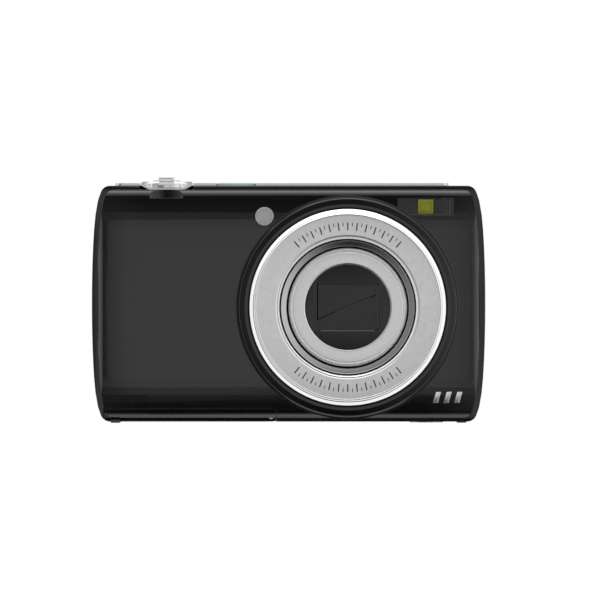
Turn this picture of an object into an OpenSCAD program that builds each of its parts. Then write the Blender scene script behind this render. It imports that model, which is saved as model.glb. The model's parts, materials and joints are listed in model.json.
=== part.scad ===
// Compact digital camera with a retracting zoom lens and a leaf lens barrier.
// +X is the right side seen from the front, the lens looks along -Y, +Z is up.
// The origin is the middle of the footprint, on the surface the feet stand on.

/* [Body] */
// Width across the widest part of the sides
body_w = 100; // [98:0.5:102]
// Height from the bottom shell to the dark rim of the top
body_h = 59.95; // [59:0.05:61]
// Depth of the body, front panel to back face
body_d = 21.6; // [21:0.1:23]
// Gap under the body that the feet fill
foot_h = 0.3; // [0.2:0.1:0.6]
// Thickness of the moulded walls
wall = 1.4; // [1.2:0.1:1.6]
// Radius of the four corners in the front view
corner_r = 2.5; // [2:0.1:3.5]
// Radius of the back edges
back_edge_r = 2.8; // [2:0.1:3]
// Radius of the front panel's edges
panel_edge_r = 2.2; // [1.5:0.1:2.5]
// How far the front panel's sides sit inside the body's sides
panel_side_inset = 1.5; // [1:0.1:2]
// How far the front panel's bottom edge sits above the body's bottom
panel_low_inset = 1; // [0.6:0.1:1.2]
// How far the front panel's top edge sits below the body's top
panel_top_inset = 1; // [0.5:0.05:1.1]
// Outward crown of the front panel
panel_crown = 0.35; // [0.2:0.05:0.5]

/* [Lens] */
// Sideways place of the lens axis
lens_x = 15; // [13:0.5:16]
// Height of the lens axis above the body's bottom
lens_z_body = 29.05; // [28.5:0.05:29.5]
// Outer radius of the black bezel
bezel_r = 27.9; // [27.5:0.1:28]
// Outer radius of the silver ring
ring_r = 24.95; // [24.5:0.05:25]
// Inner radius of the silver ring
ring_bore_r = 17.3; // [17.25:0.05:17.5]
// Outer radius of the middle barrel
middle_r = 17; // [16.9:0.05:17.1]
// Inner radius of the middle barrel
middle_bore_r = 15.5; // [15.4:0.05:15.6]
// Outer radius of the front barrel
front_r = 15.05; // [15:0.05:15.1]
// Inner radius of the front barrel
front_bore_r = 14.25; // [14.2:0.05:14.3]
// Radius of the black disc round the aperture
disc_r = 10.8; // [10.6:0.1:11]
// Width of the aperture
aperture_w = 14.7; // [14.2:0.1:15]
// Height of the aperture
aperture_h = 11.5; // [11:0.1:11.8]
// Slope of the seam between the barrier leaves
seam_angle = 22.9; // [22:0.1:24]

/* [Top controls] */
// Sideways place of the zoom lever's axis
lever_x = -31; // [-32:0.5:-30]
// Radius of the zoom lever's ring
lever_r = 6.6; // [6.4:0.1:6.8]
// Radius of the shutter button
shutter_r = 3.85; // [3.7:0.05:3.9]
// Sideways place of the power button
power_x = -13.4; // [-14:0.1:-13]
// Radius of the translucent ring round the power button
power_ring_r = 5; // [4.8:0.1:5.1]
// Distance of both top controls behind the body's middle
top_axis_y = 2; // [1.8:0.1:2.2]

/* [Back] */
// Width of the screen window
screen_w = 66; // [64:0.5:66]
// Height of the screen window
screen_h = 50; // [48:0.5:50]
// Sideways place of the middle of the screen
screen_x = -12; // [-12.5:0.5:-11.5]
// Sideways place of the direction keys' centre
pad_x = 34.5; // [34:0.5:35]
// Height of the direction keys' centre
pad_z = 27; // [25:0.5:29]

/* [Battery door] */
// Left end of the door opening
door_left = -47; // [-47:0.5:-46]
// Right end of the door opening
door_right = -3; // [-4:0.5:-2]
// Height of the door's front lip above the body's bottom
door_lip_h = 3.45; // [3.3:0.05:3.6]

/* [Tripod socket] */
// Sideways place of the tripod socket
tripod_x = 35.1; // [34.5:0.1:35.5]
// Distance of the tripod socket behind the body's middle
tripod_y = 2.2; // [2:0.1:2.6]
// Radius of the socket's wall, for a quarter-inch screw
tripod_bore_r = 2.6; // [2.55:0.05:2.7]

/* [Hidden] */
// Names of all the pieces

$fn = 96;
// Fineness of the shapes that a hull joins
hull_fn = 32;
// Small excess that carries a cut past a face
eps = 0.5;
// Gap between parts that are fixed side by side
gap = 0.1;
// Radial clearance of a running fit
run = 0.05;

// Depths along Y, lens side negative
front_y = -9;
back_y = front_y + body_d;
seam_y = -4.2;
panel_back_y = seam_y - gap;
back_in_y = back_y - wall;

// Heights
base_z = foot_h;
body_top_z = base_z + body_h;
body_mid_z = base_z + body_h / 2;
panel_low_z = base_z + panel_low_inset;
panel_top_z = body_top_z - panel_top_inset;
top_in_z = body_top_z - wall;
floor_z = base_z + wall;
lens_z = base_z + lens_z_body;

// Sides: a shallow arc with a quicker turn-in near the corners
side_arc = 660;
side_turn = 1.5;
side_turn_power = 8;
side_steps = 16;
function half_width(z, inset) =
    body_w / 2 - inset
    - pow(z - body_mid_z, 2) / side_arc
    - side_turn * pow(abs(z - body_mid_z) / (body_h / 2), side_turn_power);
function side_points(low, high, inset, side) = [
    for (i = [0:side_steps])
        let (z = side > 0 ? low + (high - low) * i / side_steps : high - (high - low) * i / side_steps)
        [side * half_width(z, inset), z]
];

// Front view outline of the body, or of the panel with insets
module outline(low, high, inset, radius) {
    offset(r = radius, $fn = hull_fn)
        offset(delta = -radius)
            polygon(concat(side_points(low, high, inset, 1), side_points(low, high, inset, -1)));
}

module body_outline() {
    outline(base_z, body_top_z, 0, corner_r);
}

module panel_outline() {
    outline(panel_low_z, panel_top_z, panel_side_inset, corner_r);
}

// A front-view shape carried from depth y0 to y1
module through(y0, y1) {
    translate([0, y1, 0])
        rotate([90, 0, 0])
            linear_extrude(y1 - y0)
                children();
}

// A shape in the side view (Y across, Z up) carried from x0 to x1
module across(x0, x1) {
    translate([x0, 0, 0])
        rotate([90, 0, 90])
            linear_extrude(x1 - x0)
                children();
}

// A rod along Y
module y_rod(x, z, radius, y0, y1) {
    translate([x, y0, z])
        rotate([-90, 0, 0])
            cylinder(h = y1 - y0, r = radius);
}

// A rod along Z
module z_rod(x, y, radius, z0, z1) {
    translate([x, y, z0])
        cylinder(h = z1 - z0, r = radius);
}

// A box between two corners
module block(low, high) {
    translate(low)
        cube(high - low);
}

// A turned shape on the lens axis, drawn as radius and depth
module turned(points) {
    translate([lens_x, 0, lens_z])
        rotate([-90, 0, 0])
            rotate_extrude()
                polygon(points);
}

// A tube on the lens axis
module lens_tube(outer, inner, y0, y1) {
    turned([[inner, y0], [outer, y0], [outer, y1], [inner, y1]]);
}

// A rectangle in the front view, with rounded corners
module plate_outline(x0, z0, x1, z1, radius) {
    hull()
        for (x = [x0 + radius, x1 - radius], z = [z0 + radius, z1 - radius])
            translate([x, z])
                circle(r = radius, $fn = hull_fn);
}

// Points of a quarter arc that turns from one angle to another
arc_steps = 8;
function arc_points(cx, cy, radius, from, to) = [
    for (i = [0:arc_steps])
        let (a = from + (to - from) * i / arc_steps)
        [cx + radius * cos(a), cy + radius * sin(a)]
];

// A shape in the plan view (X across, Y deep) carried from z0 to z1
module upright(z0, z1) {
    translate([0, 0, z0])
        linear_extrude(z1 - z0)
            children();
}

// The finger scoop in the top front edge, in front of the zoom lever: it widens a little upwards
scoop_low_r = 6.6;
scoop_high_r = 7;
scoop_depth = 2.6;
scoop_drop = 2.2;
module scoop(extra) {
    translate([lever_x, front_y + scoop_depth - scoop_high_r, panel_top_z - scoop_drop - extra])
        cylinder(h = scoop_drop + extra, r1 = scoop_low_r + extra, r2 = scoop_high_r + extra);
}

// Outer form of the front panel: front view, side view and plan together
crown_steps = 28;
crown_roll = 0.45;
roll_from = 19.5;
roll_span = 7.5;
function roll_at(dz) = crown_roll * pow(max(0, dz - roll_from) / roll_span, 2);
function crown_y(z) =
    let (dz = abs(z - body_mid_z))
    front_y + panel_crown * pow(dz / (body_h / 2), 2) + roll_at(dz);
panel_edge_dz = panel_top_z - body_mid_z - panel_edge_r;
crown_tilt = atan(
    2 * panel_crown * panel_edge_dz / pow(body_h / 2, 2)
    + 2 * crown_roll * (panel_edge_dz - roll_from) / pow(roll_span, 2)
);
module panel_form() {
    drop = panel_edge_r * sin(crown_tilt);
    low = panel_low_z + panel_edge_r - drop;
    high = panel_top_z - panel_edge_r + drop;
    edge_in = panel_edge_r * cos(crown_tilt);
    side = body_w / 2 - panel_side_inset;
    intersection() {
        through(front_y - eps, panel_back_y)
            panel_outline();
        across(-body_w, body_w)
            polygon(concat(
                [[panel_back_y + eps, panel_top_z], [panel_back_y + eps, panel_low_z]],
                arc_points(crown_y(low) + edge_in, low + drop, panel_edge_r, 270, 180 + crown_tilt),
                [for (i = [1:crown_steps - 1])
                    let (z = low + (high - low) * i / crown_steps)
                    [crown_y(z), z]],
                arc_points(crown_y(high) + edge_in, high - drop, panel_edge_r, 180 - crown_tilt, 90)
            ));
        upright(0, body_top_z)
            polygon(concat(
                arc_points(-side + panel_edge_r, front_y + panel_edge_r, panel_edge_r, 180, 270),
                arc_points(side - panel_edge_r, front_y + panel_edge_r, panel_edge_r, 270, 360),
                [[side, 0], [-side, 0]]
            ));
    }
}

// Outer form of the rear shell, with its back edges rounded and its front edge eased
ease_rim = 0.3;
ease_rim_y = 0.35;
ease_slope_y = 0.13;
module shell_form() {
    side = body_w / 2;
    side_y = back_y - back_edge_r;
    slope_y = seam_y + ease_slope_y;
    rim_y = seam_y + ease_rim_y;
    intersection() {
        through(seam_y, back_y + eps)
            body_outline();
        across(-body_w, body_w)
            polygon(concat(
                [[seam_y, panel_low_z], [slope_y, base_z + ease_rim], [rim_y, base_z], [0, base_z]],
                arc_points(side_y, base_z + back_edge_r, back_edge_r, 270, 360),
                arc_points(side_y, body_top_z - back_edge_r, back_edge_r, 0, 90),
                [[rim_y, body_top_z], [slope_y, body_top_z - ease_rim], [seam_y, panel_top_z]]
            ));
        upright(0, body_top_z + eps)
            polygon(concat(
                arc_points(side - back_edge_r, side_y, back_edge_r, 0, 90),
                arc_points(-side + back_edge_r, side_y, back_edge_r, 90, 180),
                [[-side, rim_y], [-side + ease_rim, slope_y], [-side + panel_side_inset, seam_y]],
                [[side - panel_side_inset, seam_y], [side - ease_rim, slope_y], [side, rim_y]]
            ));
    }
}

// Space of the door in the front view: round at its hinge end
door_gap = 0.15;
door_lip_z = base_z + door_lip_h;
door_axis_x = door_right - 1.4;
door_axis_z = base_z + 1.2;
door_back_y = 7;
door_t = 1.4;
knuckle_r = 1.2;
door_corner_r = 1;
door_pin_r = 0.6;
module door_space(clear) {
    inner_x = door_right - door_gap + clear;
    top_z = door_lip_z - door_gap + clear;
    hull() {
        translate([inner_x - door_corner_r - clear, top_z - door_corner_r - clear])
            circle(r = door_corner_r + clear, $fn = hull_fn);
        translate([door_axis_x, door_axis_z])
            circle(r = inner_x - door_axis_x, $fn = hull_fn);
        translate([door_left + door_gap - clear, base_z - eps])
            square([door_axis_x - door_left - door_gap + clear, top_z - base_z + eps]);
    }
}
door_space_y0 = front_y - eps;

// Opening for the door: its hinge end is square below the hinge, so the open door hangs clear
module door_opening() {
    door_space(door_gap);
    translate([door_axis_x, base_z - eps])
        square([door_right - door_axis_x, door_axis_z - base_z + eps]);
}

// Flash window, lamp and their seats
flash_x0 = 27.7;
flash_x1 = 42;
flash_z0 = base_z + 52.2;
flash_z1 = base_z + 56.8;
flash_corner_r = 0.5;
flash_block_x0 = 32.8;
flash_block_x1 = 36.8;
flash_frame_t = 1;
lamp_x = -6.1;
lamp_z = base_z + 52.1;
lamp_r = 2.4;
cover_bore_r = 20.6;

module front_cover() {
    color([0.06, 0.06, 0.065])
        difference() {
            panel_form();
            difference() {
                through(front_y + wall + panel_crown, seam_y + eps)
                    offset(delta = -wall)
                        panel_outline();
                scoop(wall);
            }
            scoop(0);
            y_rod(lens_x, lens_z, cover_bore_r, front_y - eps, seam_y);
            y_rod(lamp_x, lamp_z, lamp_r + gap, front_y - eps, seam_y);
            through(front_y - eps, seam_y)
                plate_outline(flash_x0, flash_z0, flash_x1, flash_z1, flash_corner_r);
            through(front_y - eps, seam_y + eps)
                door_opening();
        }
}

// Top plate measures
plate_t = 0.65;
plate_x0 = -44;
plate_x1 = 40.6;
plate_y0 = -3.8;
plate_y1 = 9.4;
plate_corner_r = 1.6;
plate_top_z = body_top_z + plate_t;
dish_r = 9;
dish_floor_r = 7.4;
dish_depth = 1.2;
dish_hole_r = 9.1;
dish_y0 = seam_y - run;
dish_y1 = 9.9;
clip_room_r = 6.5;
clip_room_z = 56;
lever_hub_r = 5;
mic_x = -7.3;
mic_y = 1.5;
mic_hole_r = 0.4;
notch_r = power_ring_r + run;

// Rear shell measures
lip_t = 0.8;
lip_len = 1.8;
lip_inset = wall + panel_side_inset + gap;
flange_depth = 1.2;
screen_z0 = body_mid_z - screen_h / 2;
screen_z1 = body_mid_z + screen_h / 2;
screen_x0 = screen_x - screen_w / 2;
screen_x1 = screen_x + screen_w / 2;
screen_t = 0.7;
screen_ledge = 1.5;
screen_corner_r = 1.5;
usb_z = 20;
usb_y = 7.5;
usb_h = 8.94;
usb_t = 3.2;
usb_len = 7.3;
speaker_hole_step = 1.6;
speaker_hole_fn = 24;
speaker_z = 40;
speaker_y = 5;
speaker_r = 4.2;
strap_z = base_z + 30.1;
strap_y = 4.5;
strap_gap_h = 7;
strap_gap_d = 5;
strap_depth = 3.6;
strap_wall = 1;
lug_w = 1.8;
knuckle_y0 = -1.9;
knuckle_y1 = 4.8;

// Back buttons: sideways place, height and radius
button_gap = 0.15;
button_proud = 0.4;
button_flange = 0.7;
flange_t = 0.45;
record_x = 34.5;
record_z = 50.5;
record_r = 2.9;
side_key_r = 2.1;
menu_x = 27;
menu_z = 41.5;
play_x = 42;
play_z = 41.5;
delete_x = 42;
delete_z = 12.5;
pad_outer_r = 9;
pad_inner_r = 5.1;
ok_r = 4.5;

module round_button_hole(x, z, radius) {
    y_rod(x, z, radius + button_gap, back_in_y - eps, back_y + eps);
}

module back_openings() {
    round_button_hole(record_x, record_z, record_r);
    round_button_hole(menu_x, menu_z, side_key_r);
    round_button_hole(play_x, play_z, side_key_r);
    round_button_hole(delete_x, delete_z, side_key_r);
    round_button_hole(pad_x, pad_z, pad_outer_r);
    through(back_y - screen_t - gap, back_y + eps)
        plate_outline(screen_x0 - gap, screen_z0 - gap, screen_x1 + gap, screen_z1 + gap, screen_corner_r);
    through(back_in_y - eps, back_y + eps)
        plate_outline(
            screen_x0 + screen_ledge, screen_z0 + screen_ledge,
            screen_x1 - screen_ledge, screen_z1 - screen_ledge, screen_corner_r
        );
}

module usb_shape(grow) {
    hull()
        for (s = [-1, 1])
            translate([usb_y, usb_z + s * (usb_h - usb_t) / 2])
                circle(d = usb_t + 2 * grow);
}

module strap_pocket() {
    block(
        [-body_w, strap_y - strap_gap_d / 2, strap_z - strap_gap_h / 2],
        [-body_w / 2 + strap_depth, strap_y + strap_gap_d / 2, strap_z + strap_gap_h / 2]
    );
}

module side_openings() {
    across(body_w / 2 - 3 * wall, body_w)
        usb_shape(gap);
    for (dy = [-1, 0, 1], dz = [-1, 0, 1])
        translate([
            body_w / 2 - 3 * wall,
            speaker_y + speaker_hole_step * dy,
            speaker_z + speaker_hole_step * dz
        ])
            rotate([0, 90, 0])
                cylinder(h = 4 * wall, r = mic_hole_r, $fn = speaker_hole_fn);
    strap_pocket();
}

module top_openings() {
    intersection() {
        z_rod(lever_x, top_axis_y, dish_hole_r, top_in_z - eps, body_top_z + eps);
        block([-body_w, seam_y - eps, top_in_z - eps], [body_w, dish_y1 + run, body_top_z + eps]);
    }
    z_rod(lever_x, top_axis_y, clip_room_r, clip_room_z, top_in_z);
    z_rod(power_x, top_axis_y, power_ring_r + run, top_in_z + lip_t, body_top_z + eps);
    z_rod(power_x, top_axis_y, power_stem_r + gap, top_in_z - eps, body_top_z);
    z_rod(mic_x, mic_y, mic_hole_r, top_in_z - eps, body_top_z + eps);
}

module shell_lip() {
    lip_room = 3;
    difference() {
        through(seam_y - lip_len, seam_y + eps)
            difference() {
                offset(delta = -lip_inset)
                    body_outline();
                offset(delta = -lip_inset - lip_t)
                    body_outline();
            }
        scoop(2 * wall);
        door_chamber();
        block(
            [flash_x0 - lip_room, seam_y - 2 * lip_len, flash_z0 - lip_room],
            [flash_x1 + lip_room, seam_y + 2 * eps, body_top_z]
        );
        through(seam_y - 2 * lip_len, seam_y + 2 * eps)
            translate([door_left - wall, 0])
                square([door_right - door_left + 2 * wall, floor_z + lip_room]);
    }
}

// Way in for the battery and the memory card
chamber_h = 5.2;
module door_chamber() {
    block(
        [door_left + gap, seam_y - 2 * lip_len, base_z],
        [battery_x0 + battery_w + gap, door_back_y, floor_z + chamber_h]
    );
}

// Fixed knuckles that hold the door's pin
module door_lugs() {
    for (y = [knuckle_y0 - gap - lug_w, knuckle_y1 + gap])
        difference() {
            union() {
                y_rod(door_axis_x, door_axis_z, knuckle_r - gap, y, y + lug_w);
                block(
                    [door_axis_x, y, base_z + gap],
                    [door_right + eps, y + lug_w, floor_z + knuckle_r]
                );
            }
            y_rod(door_axis_x, door_axis_z, door_pin_r, y - eps, y + lug_w + eps);
        }
}

module rear_cover() {
    color([0.07, 0.07, 0.075])
        difference() {
            union() {
                difference() {
                    shell_form();
                    difference() {
                        through(seam_y + flange_depth, back_in_y)
                            offset(delta = -wall)
                                body_outline();
                        strap_wall_block();
                    }
                    through(seam_y - eps, seam_y + flange_depth + eps)
                        offset(delta = -lip_inset - lip_t)
                            body_outline();
                    door_chamber();
                    through(seam_y - eps, door_back_y)
                        door_opening();
                }
                shell_lip();
                door_lugs();
            }
            back_openings();
            side_openings();
            top_openings();
            tripod_seat(gap, -eps, floor_z + eps);
            for (p = screw_places)
                z_rod(p[0], p[1], screw_head_r + run, base_z - eps, floor_z + eps);
        }
}

// Solid wall that closes the strap recess off from the inside
module strap_wall_block() {
    block(
        [-body_w / 2, strap_y - strap_gap_d / 2 - strap_wall, strap_z - strap_gap_h / 2 - strap_wall],
        [-body_w / 2 + strap_depth + strap_wall, strap_y + strap_gap_d / 2 + strap_wall,
            strap_z + strap_gap_h / 2 + strap_wall]
    );
}

module top_plate() {
    floor_top_z = plate_top_z - dish_depth;
    color([0.78, 0.79, 0.8])
        difference() {
            union() {
                difference() {
                    translate([0, 0, body_top_z])
                        linear_extrude(plate_t)
                            plate_outline(plate_x0, plate_y0, plate_x1, plate_y1, plate_corner_r);
                    z_rod(lever_x, top_axis_y, dish_r, body_top_z - eps, plate_top_z + eps);
                }
                intersection() {
                    translate([lever_x, top_axis_y, 0])
                        rotate_extrude()
                            polygon([
                                [lever_hub_r + run, floor_top_z - plate_t], [dish_floor_r, floor_top_z - plate_t],
                                [dish_r, plate_top_z - plate_t], [dish_r, plate_top_z],
                                [dish_floor_r, floor_top_z], [lever_hub_r + run, floor_top_z]
                            ]);
                    block(
                        [plate_x0, dish_y0, floor_top_z - 2 * plate_t],
                        [plate_x1, dish_y1, plate_top_z + eps]
                    );
                }
            }
            z_rod(power_x, top_axis_y, notch_r, body_top_z - eps, plate_top_z + eps);
            block(
                [power_x - notch_r, plate_y0 - eps, body_top_z - eps],
                [power_x + notch_r, top_axis_y, plate_top_z + eps]
            );
            z_rod(mic_x, mic_y, mic_hole_r, body_top_z - eps, plate_top_z + eps);
        }
}

// Bezel measures: it stands out of the panel and wraps over its rounded edges
bezel_lip_y = -11.75;
bezel_lip_r0 = ring_r + 0.4;
bezel_lip_r1 = ring_r + 1.2;
bezel_lip_drop = 0.35;
bezel_slope = 12;
bezel_round = 0.5;
bezel_slope_r = bezel_r - bezel_round;
bezel_slope_y = bezel_lip_y + (bezel_slope_r - bezel_lip_r1) * tan(bezel_slope);
bezel_seat_y = -11.4;
bezel_seat_t = 1.5;
bezel_wall = 1;
bezel_back_y = seam_y - 2.2;
ring_front_y = -13;
ring_face_y = -12.8;
ring_edge_y = -12.1;
ring_edge_w = 0.2;
ring_edge_end_y = -11.85;
ring_in_y = -12.2;
ring_lip_r = ring_bore_r + 0.5;
ring_lip_y = -12.8;
ring_groove_r = ring_bore_r + 0.9;
ring_groove_y = -12.55;
ring_face_r0 = ring_bore_r + 1.1;
ring_face_r1 = ring_r - 1.75;
ring_bead_r0 = ring_r - 1.55;
ring_bead_r1 = ring_r - 1.1;
ring_back_y = bezel_seat_y;

module lens_bezel() {
    color([0.08, 0.08, 0.085])
        difference() {
            turned([
                [ring_bore_r + 2 * gap, bezel_seat_y], [ring_r + gap, bezel_seat_y],
                [ring_r + gap, bezel_lip_y + bezel_lip_drop],
                [bezel_lip_r0, bezel_lip_y], [bezel_lip_r1, bezel_lip_y],
                [bezel_slope_r, bezel_slope_y],
                for (a = [-60, -30, 0])
                    [bezel_slope_r + bezel_round * cos(a), bezel_slope_y + bezel_round * (1 + sin(a))],
                [bezel_r, bezel_back_y],
                [cover_bore_r - gap, bezel_back_y], [cover_bore_r - gap, front_y + wall],
                [cover_bore_r - bezel_wall, front_y + wall],
                [cover_bore_r - bezel_wall, bezel_seat_y + bezel_seat_t],
                [ring_bore_r + 2 * gap, bezel_seat_y + bezel_seat_t]
            ]);
            difference() {
                panel_form();
                y_rod(lens_x, lens_z, cover_bore_r - gap, front_y - wall, seam_y);
            }
            y_rod(lens_x, lens_z, bezel_r - bezel_wall, front_y + wall - gap, 0);
        }
}

module lens_ring() {
    color([0.76, 0.76, 0.77])
        turned([
            [ring_bore_r, ring_back_y], [ring_bore_r, ring_in_y], [ring_lip_r, ring_lip_y],
            [ring_groove_r, ring_groove_y], [ring_face_r0, ring_face_y],
            [ring_face_r1, ring_face_y], [ring_bead_r0, ring_front_y], [ring_bead_r1, ring_front_y],
            [ring_r - ring_edge_w, ring_edge_y], [ring_r, ring_edge_end_y], [ring_r, ring_back_y]
        ]);
}

module lamp_lens() {
    dome = 0.1;
    shoulder_r = lamp_r * 0.6;
    shoulder = 0.02;
    rim_drop = 0.35;
    lamp_back_y = front_y + wall + 0.6;
    color([0.6, 0.6, 0.62])
        translate([lamp_x, 0, lamp_z])
            rotate([-90, 0, 0])
                rotate_extrude()
                    polygon([
                        [0, front_y - dome], [shoulder_r, front_y - shoulder], [lamp_r, front_y + rim_drop],
                        [lamp_r, lamp_back_y], [0, lamp_back_y]
                    ]);
}

module flash_window() {
    recess = 0.45;
    color([0.8, 0.82, 0.85, 0.4])
        through(front_y + recess, front_y + wall)
            plate_outline(
                flash_x0 + run, flash_z0 + run, flash_x1 - run, flash_z1 - run, flash_corner_r
            );
}

// Flash behind its window: the reflector's ribs, and the block that holds the tube
flash_y0 = front_y + wall + gap;
flash_block_z0 = flash_z0 + 0.5;
flash_block_z1 = flash_z1 - 0.3;
flash_block_d = 2.6;
module flash_reflector() {
    rib_count = 5;
    rib_share = 0.55;
    rib_edge = 0.4;
    rib_d = 1;
    border = 0.8;
    top_border = 0.6;
    face_y = flash_y0 + 0.5;
    back_face_y = flash_y0 + 3.1;
    rib_x0 = flash_block_x1 + flash_frame_t / 2;
    rib_step = (flash_x1 - flash_block_x1 - flash_frame_t) / rib_count;
    color([0.32, 0.31, 0.31])
        difference() {
            union() {
                block(
                    [flash_x0 - border, face_y, flash_z0 - border],
                    [flash_x1 + border, back_face_y, flash_z1 + top_border]
                );
                for (i = [0:rib_count - 1])
                    block(
                        [rib_x0 + i * rib_step, flash_y0, flash_z0 + rib_edge],
                        [rib_x0 + (i + rib_share) * rib_step, flash_y0 + rib_d, flash_z1 - rib_edge]
                    );
            }
            block(
                [flash_block_x0, flash_y0 - eps, flash_block_z0],
                [flash_block_x1, flash_y0 + flash_block_d, flash_block_z1]
            );
        }
}

module flash_tube() {
    groove_r = 1.1;
    groove_out = 0.6;
    groove_end = 0.5;
    color([0.58, 0.6, 0.2])
        difference() {
            block(
                [flash_block_x0 + run, flash_y0, flash_block_z0 + run],
                [flash_block_x1 - run, flash_y0 + flash_block_d - run, flash_block_z1 - run]
            );
            translate([
                flash_block_x0 + groove_end, flash_y0 - groove_out, (flash_block_z0 + flash_block_z1) / 2
            ])
                rotate([0, 90, 0])
                    cylinder(h = flash_block_x1 - flash_block_x0 - 2 * groove_end, r = groove_r);
        }
}

strap_bar_r = 0.9;
strap_bar_proud = 0.1;
module strap_bar() {
    color([0.6, 0.6, 0.62])
        z_rod(
            -body_w / 2 - strap_bar_proud + strap_bar_r, strap_y, strap_bar_r,
            strap_z - strap_gap_h / 2, strap_z + strap_gap_h / 2
        );
}

power_stem_r = 1.4;
power_ring_bore = 4.1;
power_ring_top = plate_top_z + gap;
module power_ring() {
    z0 = top_in_z + lip_t;
    color([0.5, 0.78, 0.66])
        difference() {
            z_rod(power_x, top_axis_y, power_ring_r, z0, power_ring_top);
            z_rod(power_x, top_axis_y, power_ring_bore, z0 - eps, power_ring_top + eps);
        }
}

module lcd_window() {
    sink = 0.02;
    color([0.03, 0.03, 0.035])
        through(back_y - screen_t, back_y - sink)
            plate_outline(screen_x0, screen_z0, screen_x1, screen_z1, screen_corner_r);
}

lcd_y0 = 8.7;
lcd_y1 = 11;
lcd_inset = 1;
module lcd_panel() {
    color([0.15, 0.16, 0.18])
        block(
            [screen_x0 + lcd_inset, lcd_y0, screen_z0 + lcd_inset],
            [screen_x1 - lcd_inset, lcd_y1, screen_z1 - lcd_inset]
        );
}

// Main board with its three chips: each has a low corner, a high corner and a thickness
board_y0 = 5;
board_t = 0.8;
board_low = [-45.2, 8];
board_high = [-6.5, 53];
chips = [
    [[-40, 36], [-26, 50], 1.2],
    [[-22, 38], [-13, 47], 1],
    [[-38, 14], [-28, 22], 1.1],
];
module main_board() {
    chip_y0 = board_y0 + board_t;
    color([0.05, 0.25, 0.15])
        union() {
            block([board_low[0], board_y0, board_low[1]], [board_high[0], chip_y0, board_high[1]]);
            for (c = chips)
                block([c[0][0], chip_y0, c[0][1]], [c[1][0], chip_y0 + c[2], c[1][1]]);
        }
}

key_board_y0 = 9.2;
key_board_y1 = 10;
key_board_low = [22.6, 7];
key_board_high = [46.3, 55];
module button_board() {
    color([0.05, 0.25, 0.15])
        block(
            [key_board_low[0], key_board_y0, key_board_low[1]],
            [key_board_high[0], key_board_y1, key_board_high[1]]
        );
}

key_places = [
    [record_x, record_z], [menu_x, menu_z], [play_x, play_z], [delete_x, delete_z], [pad_x, pad_z],
    [pad_x, pad_z + (pad_outer_r + pad_inner_r) / 2], [pad_x, pad_z - (pad_outer_r + pad_inner_r) / 2],
    [pad_x + (pad_outer_r + pad_inner_r) / 2, pad_z], [pad_x - (pad_outer_r + pad_inner_r) / 2, pad_z],
];
dome_r = 1.2;
dome_t = 0.2;
shutter_switch_z = 53.4;
switch_w = 4.4;
switch_d = 3.8;
switch_h = 1.6;
module dome_switches() {
    color([0.7, 0.7, 0.72])
        union() {
            for (p = key_places)
                y_rod(p[0], p[1], dome_r, key_board_y1, key_board_y1 + dome_t);
            for (x = [lever_x, power_x])
                block(
                    [x - switch_w / 2, top_axis_y - switch_d / 2, shutter_switch_z],
                    [x + switch_w / 2, top_axis_y + switch_d / 2, shutter_switch_z + switch_h]
                );
        }
}

battery_x0 = -45;
battery_w = 35;
battery_h = 40.4;
battery_t = 6.5;
battery_y0 = -6.2;
battery_z0 = 4;
contact_count = 3;
contact_step = 4;
module battery() {
    pocket_x = 3;
    pocket_w = 2.4;
    pocket_y0 = 1.5;
    pocket_y1 = 5;
    pocket_depth = 0.5;
    top_z = battery_z0 + battery_h;
    color([0.25, 0.27, 0.3])
        difference() {
            block(
                [battery_x0, battery_y0, battery_z0],
                [battery_x0 + battery_w, battery_y0 + battery_t, top_z]
            );
            for (i = [0:contact_count - 1])
                translate([battery_x0 + pocket_x + contact_step * i, battery_y0, top_z])
                    block([0, pocket_y0, -pocket_depth], [pocket_w, pocket_y1, eps]);
        }
}

module battery_contacts() {
    contact_x = 3.4;
    contact_w = 1.6;
    contact_y0 = 2;
    contact_y1 = 4.6;
    contact_h = 2.4;
    color([0.8, 0.65, 0.3])
        for (i = [0:contact_count - 1])
            translate([battery_x0 + contact_x + contact_step * i, battery_y0, battery_z0 + battery_h])
                block([0, contact_y0, gap], [contact_w, contact_y1, contact_h]);
}

card_w = 24;
card_h = 32;
card_t = 2.1;
card_x0 = -38;
card_y0 = 1.9;
card_z0 = 4.2;
card_cut = 4;
module memory_card() {
    color([0.12, 0.14, 0.35])
        through(card_y0, card_y0 + card_t)
            polygon([
                [card_x0, card_z0], [card_x0 + card_w, card_z0], [card_x0 + card_w, card_z0 + card_h],
                [card_x0 + card_cut, card_z0 + card_h], [card_x0, card_z0 + card_h - card_cut]
            ]);
}

module card_slot() {
    slot_wall = 0.5;
    clear = 0.15;
    grip = 6;
    color([0.7, 0.71, 0.72])
        difference() {
            block(
                [card_x0 - clear - slot_wall, card_y0 - clear - slot_wall, card_z0 + grip],
                [card_x0 + card_w + clear + slot_wall, card_y0 + card_t + clear + slot_wall,
                    card_z0 + card_h + clear + slot_wall]
            );
            block(
                [card_x0 - clear, card_y0 - clear, card_z0],
                [card_x0 + card_w + clear, card_y0 + card_t + clear, card_z0 + card_h + clear]
            );
        }
}

capacitor_x = 41.9;
capacitor_y = -1.2;
capacitor_r = 4;
module flash_capacitor() {
    can_z0 = 12;
    can_z1 = 34.5;
    leg_z0 = 10;
    leg_x = 1.6;
    leg_r = 0.3;
    color([0.12, 0.12, 0.14])
        union() {
            z_rod(capacitor_x, capacitor_y, capacitor_r, can_z0, can_z1);
            for (side = [-1, 1])
                z_rod(capacitor_x + side * leg_x, capacitor_y, leg_r, leg_z0, can_z0);
        }
}

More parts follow.
